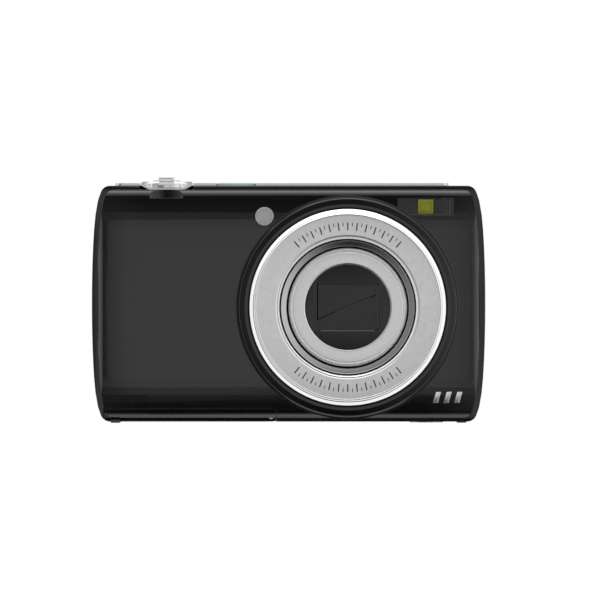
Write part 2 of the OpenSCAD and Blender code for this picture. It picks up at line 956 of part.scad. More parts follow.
module usb_port() {
    x1 = body_w / 2 - 1;
    shell_t = 0.3;
    floor_t = 1;
    tongue_t = 0.7;
    tongue_h = 6.2;
    tongue_end = 0.6;
    color([0.75, 0.75, 0.77])
        union() {
            difference() {
                across(x1 - usb_len, x1)
                    usb_shape(0);
                across(x1 - usb_len + floor_t, x1 + eps)
                    usb_shape(-shell_t);
            }
            block(
                [x1 - usb_len + floor_t - gap, usb_y - tongue_t / 2, usb_z - tongue_h / 2],
                [x1 - tongue_end, usb_y + tongue_t / 2, usb_z + tongue_h / 2]
            );
        }
}

module speaker() {
    speaker_t = 2.6;
    clear = 3;
    color([0.2, 0.2, 0.22])
        translate([body_w / 2 - clear - speaker_t, speaker_y, speaker_z])
            rotate([0, 90, 0])
                cylinder(h = speaker_t, r = speaker_r);
}

module microphone() {
    mic_w = 3;
    mic_h = 1.2;
    top_z = top_in_z - gap;
    color([0.72, 0.68, 0.5])
        block(
            [mic_x - mic_w / 2, mic_y - mic_w / 2, top_z - mic_h],
            [mic_x + mic_w / 2, mic_y + mic_w / 2, top_z]
        );
}

housing_r = 20.2;
housing_bore_r = 19.1;
housing_front_y = -7.3;
housing_back_y = 6.7;
module lens_housing() {
    end_t = 0.8;
    sensor_hole_w = 8.6;
    sensor_hole_h = 6.6;
    color([0.1, 0.1, 0.1])
        difference() {
            lens_tube(housing_r, 0, housing_front_y, housing_back_y);
            lens_tube(housing_bore_r, 0, housing_front_y - eps, housing_back_y - end_t);
            block(
                [lens_x - sensor_hole_w / 2, 0, lens_z - sensor_hole_h / 2],
                [lens_x + sensor_hole_w / 2, housing_back_y + eps, lens_z + sensor_hole_h / 2]
            );
        }
}

module image_sensor() {
    chip_w = 12;
    chip_h = 10;
    chip_y1 = housing_back_y + 0.8;
    carrier_w = 20;
    carrier_h = 16;
    carrier_y1 = housing_back_y + 1.6;
    color([0.2, 0.25, 0.3])
        union() {
            block(
                [lens_x - chip_w / 2, housing_back_y + run, lens_z - chip_h / 2],
                [lens_x + chip_w / 2, chip_y1, lens_z + chip_h / 2]
            );
            block(
                [lens_x - carrier_w / 2, chip_y1, lens_z - carrier_h / 2],
                [lens_x + carrier_w / 2, carrier_y1, lens_z + carrier_h / 2]
            );
        }
}

module zoom_motor() {
    motor_r = 3.4;
    motor_x = 37.2;
    motor_y = -2.4;
    motor_z0 = 44.6;
    motor_z1 = 51.6;
    shaft_r = 1;
    shaft_z0 = 43.4;
    color([0.65, 0.66, 0.68])
        union() {
            z_rod(motor_x, motor_y, motor_r, motor_z0, motor_z1);
            z_rod(motor_x, motor_y, shaft_r, shaft_z0, motor_z0);
        }
}

// Tripod socket: its six-sided stem keeps it from turning in the floor
tripod_outer_r = 4.2;
tripod_stem_r = 4.1;
tripod_low_z = 0.05;
tripod_flange = 0.6;
tripod_flange_t = 1;
tripod_end = 0.8;
tripod_len = 6.6;
module tripod_seat(grow, z0, z1) {
    translate([tripod_x, tripod_y, z0])
        cylinder(h = z1 - z0, r = tripod_stem_r + grow, $fn = 6);
}

module tripod_socket() {
    color([0.7, 0.7, 0.7])
        difference() {
            union() {
                z_rod(tripod_x, tripod_y, tripod_outer_r, tripod_low_z, base_z - run);
                tripod_seat(0, tripod_low_z, floor_z + tripod_flange_t);
                z_rod(
                    tripod_x, tripod_y, tripod_outer_r + tripod_flange,
                    floor_z + run, floor_z + tripod_flange_t
                );
                z_rod(tripod_x, tripod_y, tripod_outer_r, floor_z + run, tripod_len + tripod_end);
            }
            z_rod(tripod_x, tripod_y, tripod_bore_r, -eps, tripod_len);
        }
}

foot_w = 2.3;
foot_d = 3;
foot_x = 44;
foot_back_y = 8.7;
foot_front_y = -1.4;
module foot_pad(x, y) {
    translate([x, y, 0])
        linear_extrude(foot_h)
            plate_outline(-foot_w / 2, -foot_d / 2, foot_w / 2, foot_d / 2, foot_w / 3);
}

module feet() {
    color([0.1, 0.1, 0.1])
        union() {
            foot_pad(-foot_x, foot_back_y);
            foot_pad(foot_x, foot_back_y);
            foot_pad(foot_x, foot_front_y);
        }
}

screw_places = [[6, 7.5], [26, 7.5], [44.8, 3.6]];
screw_head_r = 1.3;
screw_r = 0.7;
module case_screws() {
    head_z0 = base_z + 0.2;
    head_z1 = base_z + 1;
    screw_end_z = base_z + 4.4;
    cross_w = 1.6;
    cross_t = 0.3;
    cross_z = base_z + 0.6;
    color([0.25, 0.25, 0.26])
        for (p = screw_places)
            difference() {
                union() {
                    z_rod(p[0], p[1], screw_head_r, head_z0, head_z1);
                    z_rod(p[0], p[1], screw_r, head_z1, screw_end_z);
                }
                for (a = [0, 90])
                    translate([p[0], p[1], 0])
                        rotate([0, 0, a])
                            block([-cross_w / 2, -cross_t / 2, 0], [cross_w / 2, cross_t / 2, cross_z]);
            }
}

module door_pin() {
    color([0.7, 0.7, 0.72])
        y_rod(door_axis_x, door_axis_z, door_pin_r, knuckle_y0 - gap - lug_w, knuckle_y1 + gap + lug_w);
}

// Lens barrels at rest
cam_r = 19;
cam_bore_r = 17.1;
cam_y0 = -7.1;
cam_y1 = 4.6;
module cam_ring() {
    slot_count = 3;
    slot_y0 = -4.5;
    slot_y1 = 2.5;
    slot_w = 1.6;
    color([0.14, 0.14, 0.15])
        difference() {
            lens_tube(cam_r, cam_bore_r, cam_y0, cam_y1);
            for (i = [0:slot_count - 1])
                translate([lens_x, 0, lens_z])
                    rotate([0, 360 * i / slot_count, 0])
                        block([cam_bore_r - eps, slot_y0, -slot_w / 2], [cam_r + eps, slot_y1, slot_w / 2]);
        }
}

middle_front_y = -11.6;
middle_rim_y = -11.1;
middle_back_y = 3.2;
module middle_barrel() {
    inner_y = middle_rim_y + 0.15;
    edge = 0.15;
    color([0.3, 0.3, 0.31])
        turned([
            [middle_bore_r, inner_y], [middle_r - edge, middle_front_y], [middle_r, middle_front_y + edge],
            [middle_r, middle_back_y], [middle_bore_r, middle_back_y]
        ]);
}

frame_y0 = 2.3;
frame_y1 = 3.1;
middle_lens_r = 5;
module lens_frame() {
    mount_wall = 1.2;
    guide_r = 1.5;
    guide_place = 11;
    color([0.08, 0.08, 0.08])
        difference() {
            union() {
                lens_tube(middle_bore_r - run, middle_lens_r + run, frame_y0, frame_y1);
                lens_tube(middle_lens_r + mount_wall, middle_lens_r + run, 0, frame_y0);
            }
            y_rod(lens_x, lens_z + guide_place, guide_r, frame_y0 - eps, frame_y1 + eps);
        }
}

module middle_lens() {
    pole_y = -0.2;
    zone_r = middle_lens_r * 0.6;
    zone_y = 0.1;
    edge_y = 0.8;
    back_face_y = 2.9;
    color([0.7, 0.8, 0.85, 0.5])
        turned([
            [0, pole_y], [zone_r, zone_y], [middle_lens_r, edge_y],
            [middle_lens_r, back_face_y], [0, back_face_y]
        ]);
}

barrel_front_y = -12.4;
cap_back_y = -11.7;
front_back_y = 2;
leaf_pin_r = 0.5;
leaf_pin_place = 13;
leaf_pin_angle = 12;
leaf_y0 = -11.62;
leaf_t = 0.35;
back_leaf_y0 = -11.2;
module front_barrel() {
    inner_edge = 0.1;
    inner_edge_r = disc_r + 0.4;
    face_end_r = front_r - 1.1;
    band_r = front_r - 0.95;
    band_y = barrel_front_y + 0.15;
    rim_r = front_r - 0.3;
    rim_y = barrel_front_y + 0.25;
    side_y = barrel_front_y + 0.6;
    color([0.74, 0.74, 0.75])
        union() {
            turned([
                [disc_r + run, barrel_front_y + inner_edge], [inner_edge_r, barrel_front_y],
                [face_end_r, barrel_front_y], [band_r, band_y],
                [rim_r, rim_y], [front_r, side_y],
                [front_r, front_back_y], [front_bore_r, front_back_y],
                [front_bore_r, cap_back_y], [disc_r + run, cap_back_y]
            ]);
            for (a = [leaf_pin_angle, leaf_pin_angle + 180])
                y_rod(
                    lens_x + leaf_pin_place * cos(a), lens_z + leaf_pin_place * sin(a),
                    leaf_pin_r, cap_back_y - eps / 2, back_leaf_y0 + leaf_t + gap
                );
        }
}

disc_front_y = -12.25;
aperture_step = 0.3;
aperture_step_d = 0.2;
notch_w = 0.8;
module barrier_disc() {
    color([0.19, 0.18, 0.19])
        difference() {
            lens_tube(disc_r, 0, disc_front_y, cap_back_y);
            through(disc_front_y - eps, cap_back_y + eps)
                union() {
                    translate([lens_x - aperture_w / 2, lens_z - aperture_h / 2])
                        square([aperture_w, aperture_h]);
                    for (sx = [-1, 1], sz = [-1, 1])
                        translate([lens_x + sx * aperture_w / 2, lens_z + sz * aperture_h / 2])
                            square(notch_w, center = true);
                }
            through(disc_front_y - eps, disc_front_y + aperture_step_d)
                translate([lens_x - aperture_w / 2 - aperture_step, lens_z - aperture_h / 2 - aperture_step])
                    square([aperture_w + 2 * aperture_step, aperture_h + 2 * aperture_step]);
        }
}

holder_y0 = -9.9;
front_lens_r = 8.4;
module lens_holder() {
    plate_y0 = holder_y0 + 1;
    plate_y1 = holder_y0 + 2.4;
    sleeve_wall = 1.1;
    sleeve_y1 = -4.4;
    color([0.07, 0.07, 0.07])
        union() {
            lens_tube(front_bore_r - run, front_lens_r + run, plate_y0, plate_y1);
            lens_tube(front_lens_r + sleeve_wall, front_lens_r + run, plate_y1, sleeve_y1);
        }
}

// The front lens is domed in three steps from its pole to its edge
module front_lens() {
    zone_r = [front_lens_r * 0.4, front_lens_r * 0.75];
    zone_y = [holder_y0 + 0.15, holder_y0 + 0.6];
    edge_y = holder_y0 + 1.2;
    back_face_y = -5;
    color([0.35, 0.3, 0.45, 0.6])
        turned([
            [0, holder_y0], [zone_r[0], zone_y[0]], [zone_r[1], zone_y[1]],
            [front_lens_r, edge_y], [front_lens_r, back_face_y], [0, back_face_y]
        ]);
}

module barrier_ring() {
    drive_bore_r = disc_r + 1.4;
    drive_y0 = -10.7;
    drive_y1 = -10.1;
    color([0.2, 0.2, 0.2])
        lens_tube(front_bore_r - 3 * run, drive_bore_r, drive_y0, drive_y1);
}

// Barrier leaves. Each half of the aperture has a leaf by the seam and one behind it.
seam_gap = 0.04;
leaf_margin = 0.2;
leaf_band = 4;
leaf_overlap = 0.5;
leaf_eye_r = 1;

// Half of the aperture above the seam, kept between two distances from the seam
module seam_band(low, high) {
    intersection() {
        translate([-aperture_w / 2 - leaf_margin, -aperture_h / 2 - leaf_margin])
            square([aperture_w + 2 * leaf_margin, aperture_h + 2 * leaf_margin]);
        rotate(seam_angle)
            translate([-aperture_w, low])
                square([2 * aperture_w, high - low]);
    }
}

pin_local = [leaf_pin_place * cos(leaf_pin_angle), leaf_pin_place * sin(leaf_pin_angle)];
leaf_end_x = aperture_w / 2 + leaf_margin;
leaf_end_z = leaf_end_x * tan(seam_angle) + seam_gap / cos(seam_angle);
leaf_top_z = aperture_h / 2 + leaf_margin;
back_arm_x = (leaf_top_z * cos(seam_angle) - leaf_band + leaf_overlap) / sin(seam_angle);
arm_in = 0.3;
arm_w = 1;
back_arm_w = 3;
back_arm_cut = 0.8;
back_arm_h = 1.6;
module leaf_outline(back) {
    difference() {
        union() {
            if (back)
                seam_band(leaf_band - leaf_overlap, aperture_w);
            else
                seam_band(seam_gap, leaf_band);
            hull() {
                translate(pin_local)
                    circle(r = leaf_eye_r, $fn = hull_fn);
                if (back)
                    polygon([
                        [back_arm_x - back_arm_w, leaf_top_z - arm_in],
                        [back_arm_x - back_arm_cut, leaf_top_z - arm_in],
                        [back_arm_x, leaf_top_z + back_arm_h],
                        [back_arm_x - back_arm_w, leaf_top_z + back_arm_h]
                    ]);
                else
                    polygon([
                        [leaf_end_x - arm_w, leaf_end_z + 2 * arm_in],
                        [leaf_end_x - arm_in, leaf_end_z + arm_in],
                        [leaf_end_x - arm_in, leaf_top_z - gap],
                        [leaf_end_x - arm_w, leaf_top_z - gap]
                    ]);
            }
        }
        translate(pin_local)
            circle(r = leaf_pin_r + run);
    }
}

module leaf(back, turn) {
    y0 = back ? back_leaf_y0 : leaf_y0;
    color([0.2, 0.19, 0.2])
        through(y0, y0 + leaf_t)
            translate([lens_x, lens_z])
                rotate(turn)
                    leaf_outline(back);
}

module upper_leaf() {
    leaf(false, 0);
}

module lower_leaf() {
    leaf(false, 180);
}

module upper_back_leaf() {
    leaf(true, 0);
}

module lower_back_leaf() {
    leaf(true, 180);
}

// Zoom lever, shutter button and power button
lever_z0 = plate_top_z - dish_depth + run;
lever_z1 = 61.3;
lever_edge = 0.4;
lever_edge_in = 0.3;
lever_tab_z = 62.4;
lever_tab_w = 4;
lever_tab_t = 1.6;
lever_tab_out = 0.7;
lever_tab_root = 0.9;
lever_bore_r = shutter_r + 0.12;
lever_bore_edge = 0.5;
lever_hub_z = 57.2;
clip_z0 = 57.45;
clip_t = 0.5;
clip_groove = 0.4;
clip_grip = 0.35;
clip_out = 1;
clip_mouth = 3;
knurl_count = 40;
knurl_r = 0.22;
knurl_in = 0.04;
knurl_end = 0.65;
knurl_fn = 8;
knurl_gap_from = 0.7;
knurl_gap_to = 0.8;
module zoom_lever() {
    color([0.78, 0.78, 0.79])
        translate([lever_x, top_axis_y, 0])
            difference() {
                union() {
                    rotate_extrude()
                        polygon([
                            [lever_bore_r, lever_hub_z], [lever_hub_r, lever_hub_z],
                            [lever_hub_r, lever_z0],
                            [lever_r, lever_z0], [lever_r, lever_z1 - lever_edge],
                            [lever_r - lever_edge_in, lever_z1],
                            [lever_bore_r + lever_bore_edge, lever_z1], [lever_bore_r, lever_z1 - lever_edge_in]
                        ]);
                    block(
                        [-lever_tab_w / 2, -lever_r - lever_tab_out, lever_z1 - lever_tab_root],
                        [lever_tab_w / 2, -lever_r - lever_tab_out + lever_tab_t, lever_tab_z]
                    );
                }
                for (i = [0:knurl_count - 1])
                    if (i < knurl_count * knurl_gap_from || i > knurl_count * knurl_gap_to)
                        rotate(360 * (i + 0.5) / knurl_count)
                            translate([lever_r + knurl_in, 0, lever_z0 - eps])
                                cylinder(
                                    h = lever_z1 - lever_z0 - knurl_end + eps, r = knurl_r, $fn = knurl_fn
                                );
                translate([0, 0, clip_z0 - run])
                    difference() {
                        cylinder(h = clip_t + 2 * run, r = lever_hub_r + eps);
                        translate([0, 0, -eps])
                            cylinder(h = clip_t + 2 * eps, r = lever_hub_r - clip_groove);
                    }
            }
}

module lever_clip() {
    color([0.5, 0.5, 0.52])
        translate([lever_x, top_axis_y, clip_z0])
            difference() {
                cylinder(h = clip_t, r = lever_hub_r + clip_out);
                translate([0, 0, -eps])
                    cylinder(h = clip_t + 2 * eps, r = lever_hub_r - clip_grip);
                translate([-clip_mouth / 2, 0, -eps])
                    cube([clip_mouth, lever_hub_r + 2 * clip_out, clip_t + 2 * eps]);
            }
}

shutter_top_z = 61.6;
module shutter_button() {
    stem_r = 1.4;
    stem_z = shutter_switch_z + 2.6;
    stop_out = 0.6;
    stop_z0 = 56.3;
    stop_z1 = 56.9;
    edge = 0.4;
    bevel_r = shutter_r - 0.35;
    bevel_z = shutter_top_z - 0.05;
    rim_r = shutter_r - 0.9;
    dish_edge_r = shutter_r * 0.4;
    dish_edge_z = shutter_top_z - 0.15;
    dish_z = shutter_top_z - 0.2;
    color([0.8, 0.8, 0.81])
        translate([lever_x, top_axis_y, 0])
            rotate_extrude()
                polygon([
                    [0, stem_z], [stem_r, stem_z], [stem_r, stop_z0], [shutter_r + stop_out, stop_z0],
                    [shutter_r + stop_out, stop_z1], [shutter_r, stop_z1], [shutter_r, shutter_top_z - edge],
                    [bevel_r, bevel_z], [rim_r, shutter_top_z], [dish_edge_r, dish_edge_z], [0, dish_z]
                ]);
}

power_top_z = plate_top_z + gap;
module power_button() {
    power_r = power_ring_bore - gap;
    z0 = body_top_z - gap;
    stem_z = shutter_switch_z + 2.4;
    edge = 0.25;
    dish_edge_r = power_r * 0.5;
    dish_edge_z = power_top_z - 0.12;
    dish_z = power_top_z - 0.15;
    color([0.8, 0.8, 0.81])
        translate([power_x, top_axis_y, 0])
            rotate_extrude()
                polygon([
                    [0, stem_z], [power_stem_r, stem_z], [power_stem_r, z0], [power_r, z0],
                    [power_r, power_top_z - edge], [power_r - edge, power_top_z],
                    [dish_edge_r, dish_edge_z], [0, dish_z]
                ]);
}

// Back buttons
button_y1 = back_y + button_proud;
flange_y1 = back_in_y - button_gap;
flange_y0 = flange_y1 - flange_t;
module round_button(x, z, radius) {
    edge = 0.25;
    crown = 0.02;
    flat_r = radius * 0.6;
    translate([x, 0, z])
        rotate([-90, 0, 0])
            rotate_extrude()
                polygon([
                    [0, flange_y0], [radius + button_flange, flange_y0], [radius + button_flange, flange_y1],
                    [radius, flange_y1], [radius, button_y1 - edge], [radius - edge, button_y1 - crown],
                    [flat_r, button_y1], [0, button_y1]
                ]);
}

module record_button() {
    color([0.6, 0.08, 0.08])
        round_button(record_x, record_z, record_r);
}

module menu_button() {
    color([0.1, 0.1, 0.1])
        round_button(menu_x, menu_z, side_key_r);
}

module play_button() {
    color([0.1, 0.1, 0.1])
        round_button(play_x, play_z, side_key_r);
}

module delete_button() {
    color([0.1, 0.1, 0.1])
        round_button(delete_x, delete_z, side_key_r);
}

// One of four keys that form a ring: a quarter ring with a turned section
module ring_key(turn) {
    key_angle = 84;
    skirt_r = pad_outer_r + 0.4;
    edge = 0.3;
    crest_r = pad_outer_r - 1;
    crest_drop = 0.05;
    inner_edge_y = button_y1 - 0.2;
    inner_y = button_y1 - 0.4;
    color([0.12, 0.12, 0.125])
        translate([pad_x, 0, pad_z])
            rotate([-90, 0, 0])
                rotate(turn - key_angle / 2)
                    rotate_extrude(angle = key_angle)
                        polygon([
                            [pad_inner_r, flange_y0], [skirt_r, flange_y0], [skirt_r, flange_y1],
                            [pad_outer_r, flange_y1], [pad_outer_r, button_y1 - edge],
                            [pad_outer_r - edge, button_y1 - crest_drop], [crest_r, button_y1],
                            [pad_inner_r + edge, inner_edge_y], [pad_inner_r, inner_y]
                        ]);
}

module up_key() {
    ring_key(-90);
}

module down_key() {
    ring_key(90);
}

module left_key() {
    ring_key(180);
}

module right_key() {
    ring_key(0);
}

module ok_button() {
    skirt_r = ok_r + 0.3;
    edge = 0.3;
    top_y = button_y1 - 0.05;
    color([0.14, 0.14, 0.145])
        translate([pad_x, 0, pad_z])
            rotate([-90, 0, 0])
                rotate_extrude()
                    polygon([
                        [0, flange_y0], [skirt_r, flange_y0], [skirt_r, flange_y1], [ok_r, flange_y1],
                        [ok_r, button_y1 - edge], [ok_r - edge, top_y], [0, top_y]
                    ]);
}

// Battery door with its knuckle, and the latch that slides in it
latch_x0 = -46.2;
latch_x1 = -39.6;
latch_y0 = -1.8;
latch_y1 = 3.2;
latch_slot_x0 = -45;
latch_slot_x1 = -40.4;
latch_slot_y0 = -0.6;
latch_slot_y1 = 2;
latch_t = 0.7;
latch_travel = 1.5;
door_sill_z = base_z + 2.2;
module battery_door() {
    lip_in_y = front_y + door_t;
    lug_room = 0.3;
    color([0.06, 0.06, 0.065])
        difference() {
            union() {
                difference() {
                    intersection() {
                        union() {
                            panel_form();
                            shell_form();
                            through(panel_back_y - eps, seam_y + eps)
                                panel_outline();
                        }
                        through(door_space_y0, door_back_y - door_gap)
                            door_space(0);
                    }
                    block([-body_w, lip_in_y, door_sill_z], [body_w, back_y, body_top_z]);
                    block([-body_w, seam_y + flange_depth, base_z + door_t], [body_w, back_y, body_top_z]);
                }
                y_rod(door_axis_x, door_axis_z, knuckle_r, knuckle_y0, knuckle_y1);
                foot_pad_on_door();
            }
            y_rod(door_axis_x, door_axis_z, door_pin_r + run, front_y + 2 * wall, door_back_y + eps);
            for (y = [knuckle_y0 - gap - lug_w, knuckle_y1 + gap])
                block(
                    [door_axis_x - knuckle_r - lug_room, y - gap, -eps],
                    [body_w, y + lug_w + gap, door_lip_z + eps]
                );
            block(
                [latch_slot_x0 - gap, latch_slot_y0 - gap, -eps],
                [latch_slot_x1 + latch_travel + gap, latch_slot_y1 + gap, floor_z + eps]
            );
        }
}

module foot_pad_on_door() {
    block(
        [-foot_x - foot_w / 2, foot_front_y - foot_d - 1, 0],
        [-foot_x + foot_w / 2, foot_front_y - 1, base_z + eps]
    );
}

module door_latch() {
    color([0.15, 0.15, 0.15])
        union() {
            block([latch_x0, latch_y0, floor_z + gap], [latch_x1, latch_y1, floor_z + gap + latch_t]);
            block(
                [latch_slot_x0, latch_slot_y0, base_z + door_gap],
                [latch_slot_x1, latch_slot_y1, floor_z + gap]
            );
        }
}

front_cover();
rear_cover();
top_plate();
lens_bezel();
lens_ring();
lamp_lens();
flash_window();
flash_reflector();
flash_tube();
strap_bar();
power_ring();
lcd_window();
lcd_panel();
main_board();
button_board();
dome_switches();
battery();
memory_card();
card_slot();
battery_contacts();
flash_capacitor();
usb_port();
speaker();
microphone();
lens_housing();
image_sensor();
zoom_motor();
tripod_socket();
feet();
case_screws();
door_pin();
cam_ring();
middle_barrel();
lens_frame();
middle_lens();
front_barrel();
barrier_disc();
lens_holder();
front_lens();
barrier_ring();
upper_leaf();
lower_leaf();
upper_back_leaf();
lower_back_leaf();
zoom_lever();
lever_clip();
shutter_button();
power_button();
record_button();
menu_button();
play_button();
delete_button();
up_key();
down_key();
left_key();
right_key();
ok_button();
battery_door();
door_latch();
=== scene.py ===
"""Looks of a compact digital camera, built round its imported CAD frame. Units are metres."""

import json
import math

import bmesh
import bpy
import numpy as np
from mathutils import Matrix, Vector
from mathutils.bvhtree import BVHTree


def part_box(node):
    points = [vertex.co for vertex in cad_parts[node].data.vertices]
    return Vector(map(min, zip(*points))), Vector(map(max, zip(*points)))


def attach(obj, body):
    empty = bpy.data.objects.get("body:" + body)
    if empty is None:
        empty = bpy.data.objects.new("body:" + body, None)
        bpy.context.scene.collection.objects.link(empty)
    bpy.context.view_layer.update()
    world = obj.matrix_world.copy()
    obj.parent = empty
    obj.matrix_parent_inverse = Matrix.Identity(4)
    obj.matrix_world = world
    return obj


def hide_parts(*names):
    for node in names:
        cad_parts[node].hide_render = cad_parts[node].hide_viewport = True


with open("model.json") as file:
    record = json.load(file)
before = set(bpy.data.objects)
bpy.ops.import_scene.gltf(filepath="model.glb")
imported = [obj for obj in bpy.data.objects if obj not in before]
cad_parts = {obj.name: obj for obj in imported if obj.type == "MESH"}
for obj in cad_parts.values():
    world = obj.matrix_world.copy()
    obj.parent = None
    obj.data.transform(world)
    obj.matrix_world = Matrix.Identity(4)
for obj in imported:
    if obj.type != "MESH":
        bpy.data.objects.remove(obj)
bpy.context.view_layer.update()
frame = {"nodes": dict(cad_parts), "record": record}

MM = 0.001
SCENE = bpy.context.scene
NODES = frame["nodes"]
RECORD = frame["record"]
NODE_SLOT = {part["node"]: part["material_slot"] for part in RECORD["subparts"]}
NODE_BODY = {node: body for body, held in RECORD["behaviour"]["bodies"].items() for node in held}


# Camera ---------------------------------------------------------------------------------------
VIEW_WIDTH = 152.2 * MM
VIEW_DISTANCE = 3.0
SENSOR = 36.0
CLIP_NEAR = 0.1
CLIP_FAR = 30.0
AIM = Vector((2.9 * MM, -9.0 * MM, 31.2 * MM))


def add_camera():
    data = bpy.data.cameras.new("view_camera")
    data.sensor_width = SENSOR
    data.lens = SENSOR * VIEW_DISTANCE / VIEW_WIDTH
    data.clip_start = CLIP_NEAR
    data.clip_end = CLIP_FAR
    cam = bpy.data.objects.new("view_camera", data)
    SCENE.collection.objects.link(cam)
    cam.location = AIM + Vector((0, -VIEW_DISTANCE, 0))
    cam.rotation_euler = (math.radians(90), 0, 0)
    SCENE.camera = cam


# Node tree helpers ----------------------------------------------------------------------------
NOISE_LOW = 0.3
NOISE_HIGH = 0.7
EDGE_DOT = 0.8
BEVEL_SAMPLES = 4


class Tree:
    """Short calls that add and link shader nodes."""

    def __init__(self, owner):
        owner.use_nodes = True
        self.nt = owner.node_tree
        self.nt.nodes.clear()

    def feed(self, socket, value):
        """Links a socket to another one, or sets its number."""
        if isinstance(value, bpy.types.NodeSocket):
            self.nt.links.new(value, socket)
        else:
            socket.default_value = value

    def add(self, kind, **values):
        node = self.nt.nodes.new(kind)
        for key, value in values.items():
            setattr(node, key, value)
        return node

    def put(self, node, **inputs):
        for key, value in inputs.items():
            self.feed(node.inputs[key.replace("_", " ")], value)
        return node

    def math(self, operation, a, b=0.0, clamp=False):
        node = self.add("ShaderNodeMath", operation=operation, use_clamp=clamp)
        for socket, value in zip(node.inputs, (a, b)):
            self.feed(socket, value)
        return node.outputs[0]

    def remap(self, value, low, high, out_low, out_high):
        node = self.add("ShaderNodeMapRange")
        return self.put(
            node, Value=value, From_Min=low, From_Max=high, To_Min=out_low, To_Max=out_high
        ).outputs[0]

    def vary(self, noise, low, high):
        """Spreads a noise's usual range from low to high."""
        return self.remap(noise, NOISE_LOW, NOISE_HIGH, low, high)

    def ramp(self, value, stops):
        node = self.add("ShaderNodeValToRGB")
        elements = node.color_ramp.elements
        while len(elements) < len(stops):
            elements.new(0.5)
        for element, (place, colour) in zip(elements, stops):
            element.position = place
            element.color = (*colour, 1.0)
        self.put(node, Fac=value)
        return node.outputs[0]

    def noise(self, scale, detail=3.0, rough=0.55, vector=None):
        node = self.add("ShaderNodeTexNoise")
        self.put(node, Scale=scale, Detail=detail, Roughness=rough)
        if vector is not None:
            self.put(node, Vector=vector)
        return node.outputs[0]

    def place(self):
        return self.add("ShaderNodeTexCoord").outputs["Object"]

    def stretched(self, scale):
        node = self.add("ShaderNodeMapping")
        return self.put(node, Vector=self.place(), Scale=scale).outputs[0]

    def mix(self, factor, a, b):
        """Mixes two colours, each a tuple or a colour socket."""
        node = self.add("ShaderNodeMix", data_type="RGBA")
        self.feed(next(s for s in node.inputs if s.name == "Factor" and s.enabled), factor)
        for name, value in (("A", a), ("B", b)):
            socket = next(s for s in node.inputs if s.name == name and s.type == "RGBA")
            self.feed(socket, (*value, 1.0) if isinstance(value, tuple) else value)
        return next(s for s in node.outputs if s.type == "RGBA")

    def mix_shaders(self, factor, first, second):
        node = self.add("ShaderNodeMixShader")
        for socket, value in zip(node.inputs, (factor, first, second)):
            self.feed(socket, value)
        return node.outputs[0]

    def bevel(self, radius):
        node = self.add("ShaderNodeBevel", samples=BEVEL_SAMPLES)
        return self.put(node, Radius=radius).outputs[0]

    def bump(self, height, distance, normal):
        node = self.add("ShaderNodeBump")
        return self.put(node, Height=height, Distance=distance, Strength=1.0, Normal=normal).outputs[0]

    def edge(self, radius):
        """0 on flat places and up to 1 at edges, from how far a wide bevel turns the normal."""
        flat = self.add("ShaderNodeNewGeometry").outputs["Normal"]
        dot = self.add("ShaderNodeVectorMath", operation="DOT_PRODUCT")
        self.nt.links.new(self.bevel(radius), dot.inputs[0])
        self.nt.links.new(flat, dot.inputs[1])
        return self.remap(dot.outputs["Value"], 1.0, EDGE_DOT, 0.0, 1.0)

    def finish(self, shader):
        out = self.add("ShaderNodeOutputMaterial")
        self.nt.links.new(shader, out.inputs["Surface"])


def shade(colour, factor):
    return tuple(c * factor for c in colour)


# Materials ------------------------------------------------------------------------------------
EDGE = 0.12 * MM
CLOUD_SCALE = 60.0
PLASTIC_IOR = 1.5


def plastic(name, colour, rough=0.3, grain=1500.0, depth=0.004 * MM, wear=1.6, edge=EDGE, spread=0.06):
    """Moulded plastic: fine grain, slow changes of gloss, and slightly polished, lighter edges."""
    mat = bpy.data.materials.new(name)
    t = Tree(mat)
    cloud = t.noise(CLOUD_SCALE, 4.0)
    fine = t.noise(grain, 2.0, vector=t.place())
    worn = t.edge(2.5 * edge)
    mottled = t.mix(t.remap(cloud, 0.35, 0.65, 0.0, 1.0), shade(colour, 0.9), shade(colour, 1.1))
    base = t.mix(worn, mottled, shade(colour, wear))
    fine_gloss = t.math("MULTIPLY", t.vary(fine, 0.85, 1.15), rough)
    gloss = t.math("ADD", fine_gloss, t.vary(cloud, -spread / 2, spread / 2), clamp=True)
    normal = t.bump(fine, depth, t.bevel(edge))
    bsdf = t.add("ShaderNodeBsdfPrincipled")
    t.put(bsdf, Base_Color=base, Roughness=gloss, IOR=PLASTIC_IOR, Normal=normal)
    t.finish(bsdf.outputs[0])
    return mat


def metal(name, colour, rough=0.25, stretch=(1.0, 1.0, 1.0), grain=900.0, depth=0.002 * MM):
    """Satin metal or metal-plated plastic: a fine brushed or blasted grain."""
    mat = bpy.data.materials.new(name)
    t = Tree(mat)
    fine = t.noise(grain, 3.0, 0.6, vector=t.stretched(stretch))
    cloud = t.noise(45.0, 3.0)
    base = t.mix(t.vary(fine, 0.0, 1.0), shade(colour, 0.97), shade(colour, 1.02))
    fine_gloss = t.vary(fine, rough * 0.92, rough * 1.08)
    gloss = t.math("ADD", fine_gloss, t.vary(cloud, -0.015, 0.015), clamp=True)
    normal = t.bump(fine, depth, t.bevel(EDGE))
    bsdf = t.add("ShaderNodeBsdfPrincipled")
    t.put(bsdf, Base_Color=base, Metallic=1.0, Roughness=gloss, Normal=normal)
    t.finish(bsdf.outputs[0])
    return mat


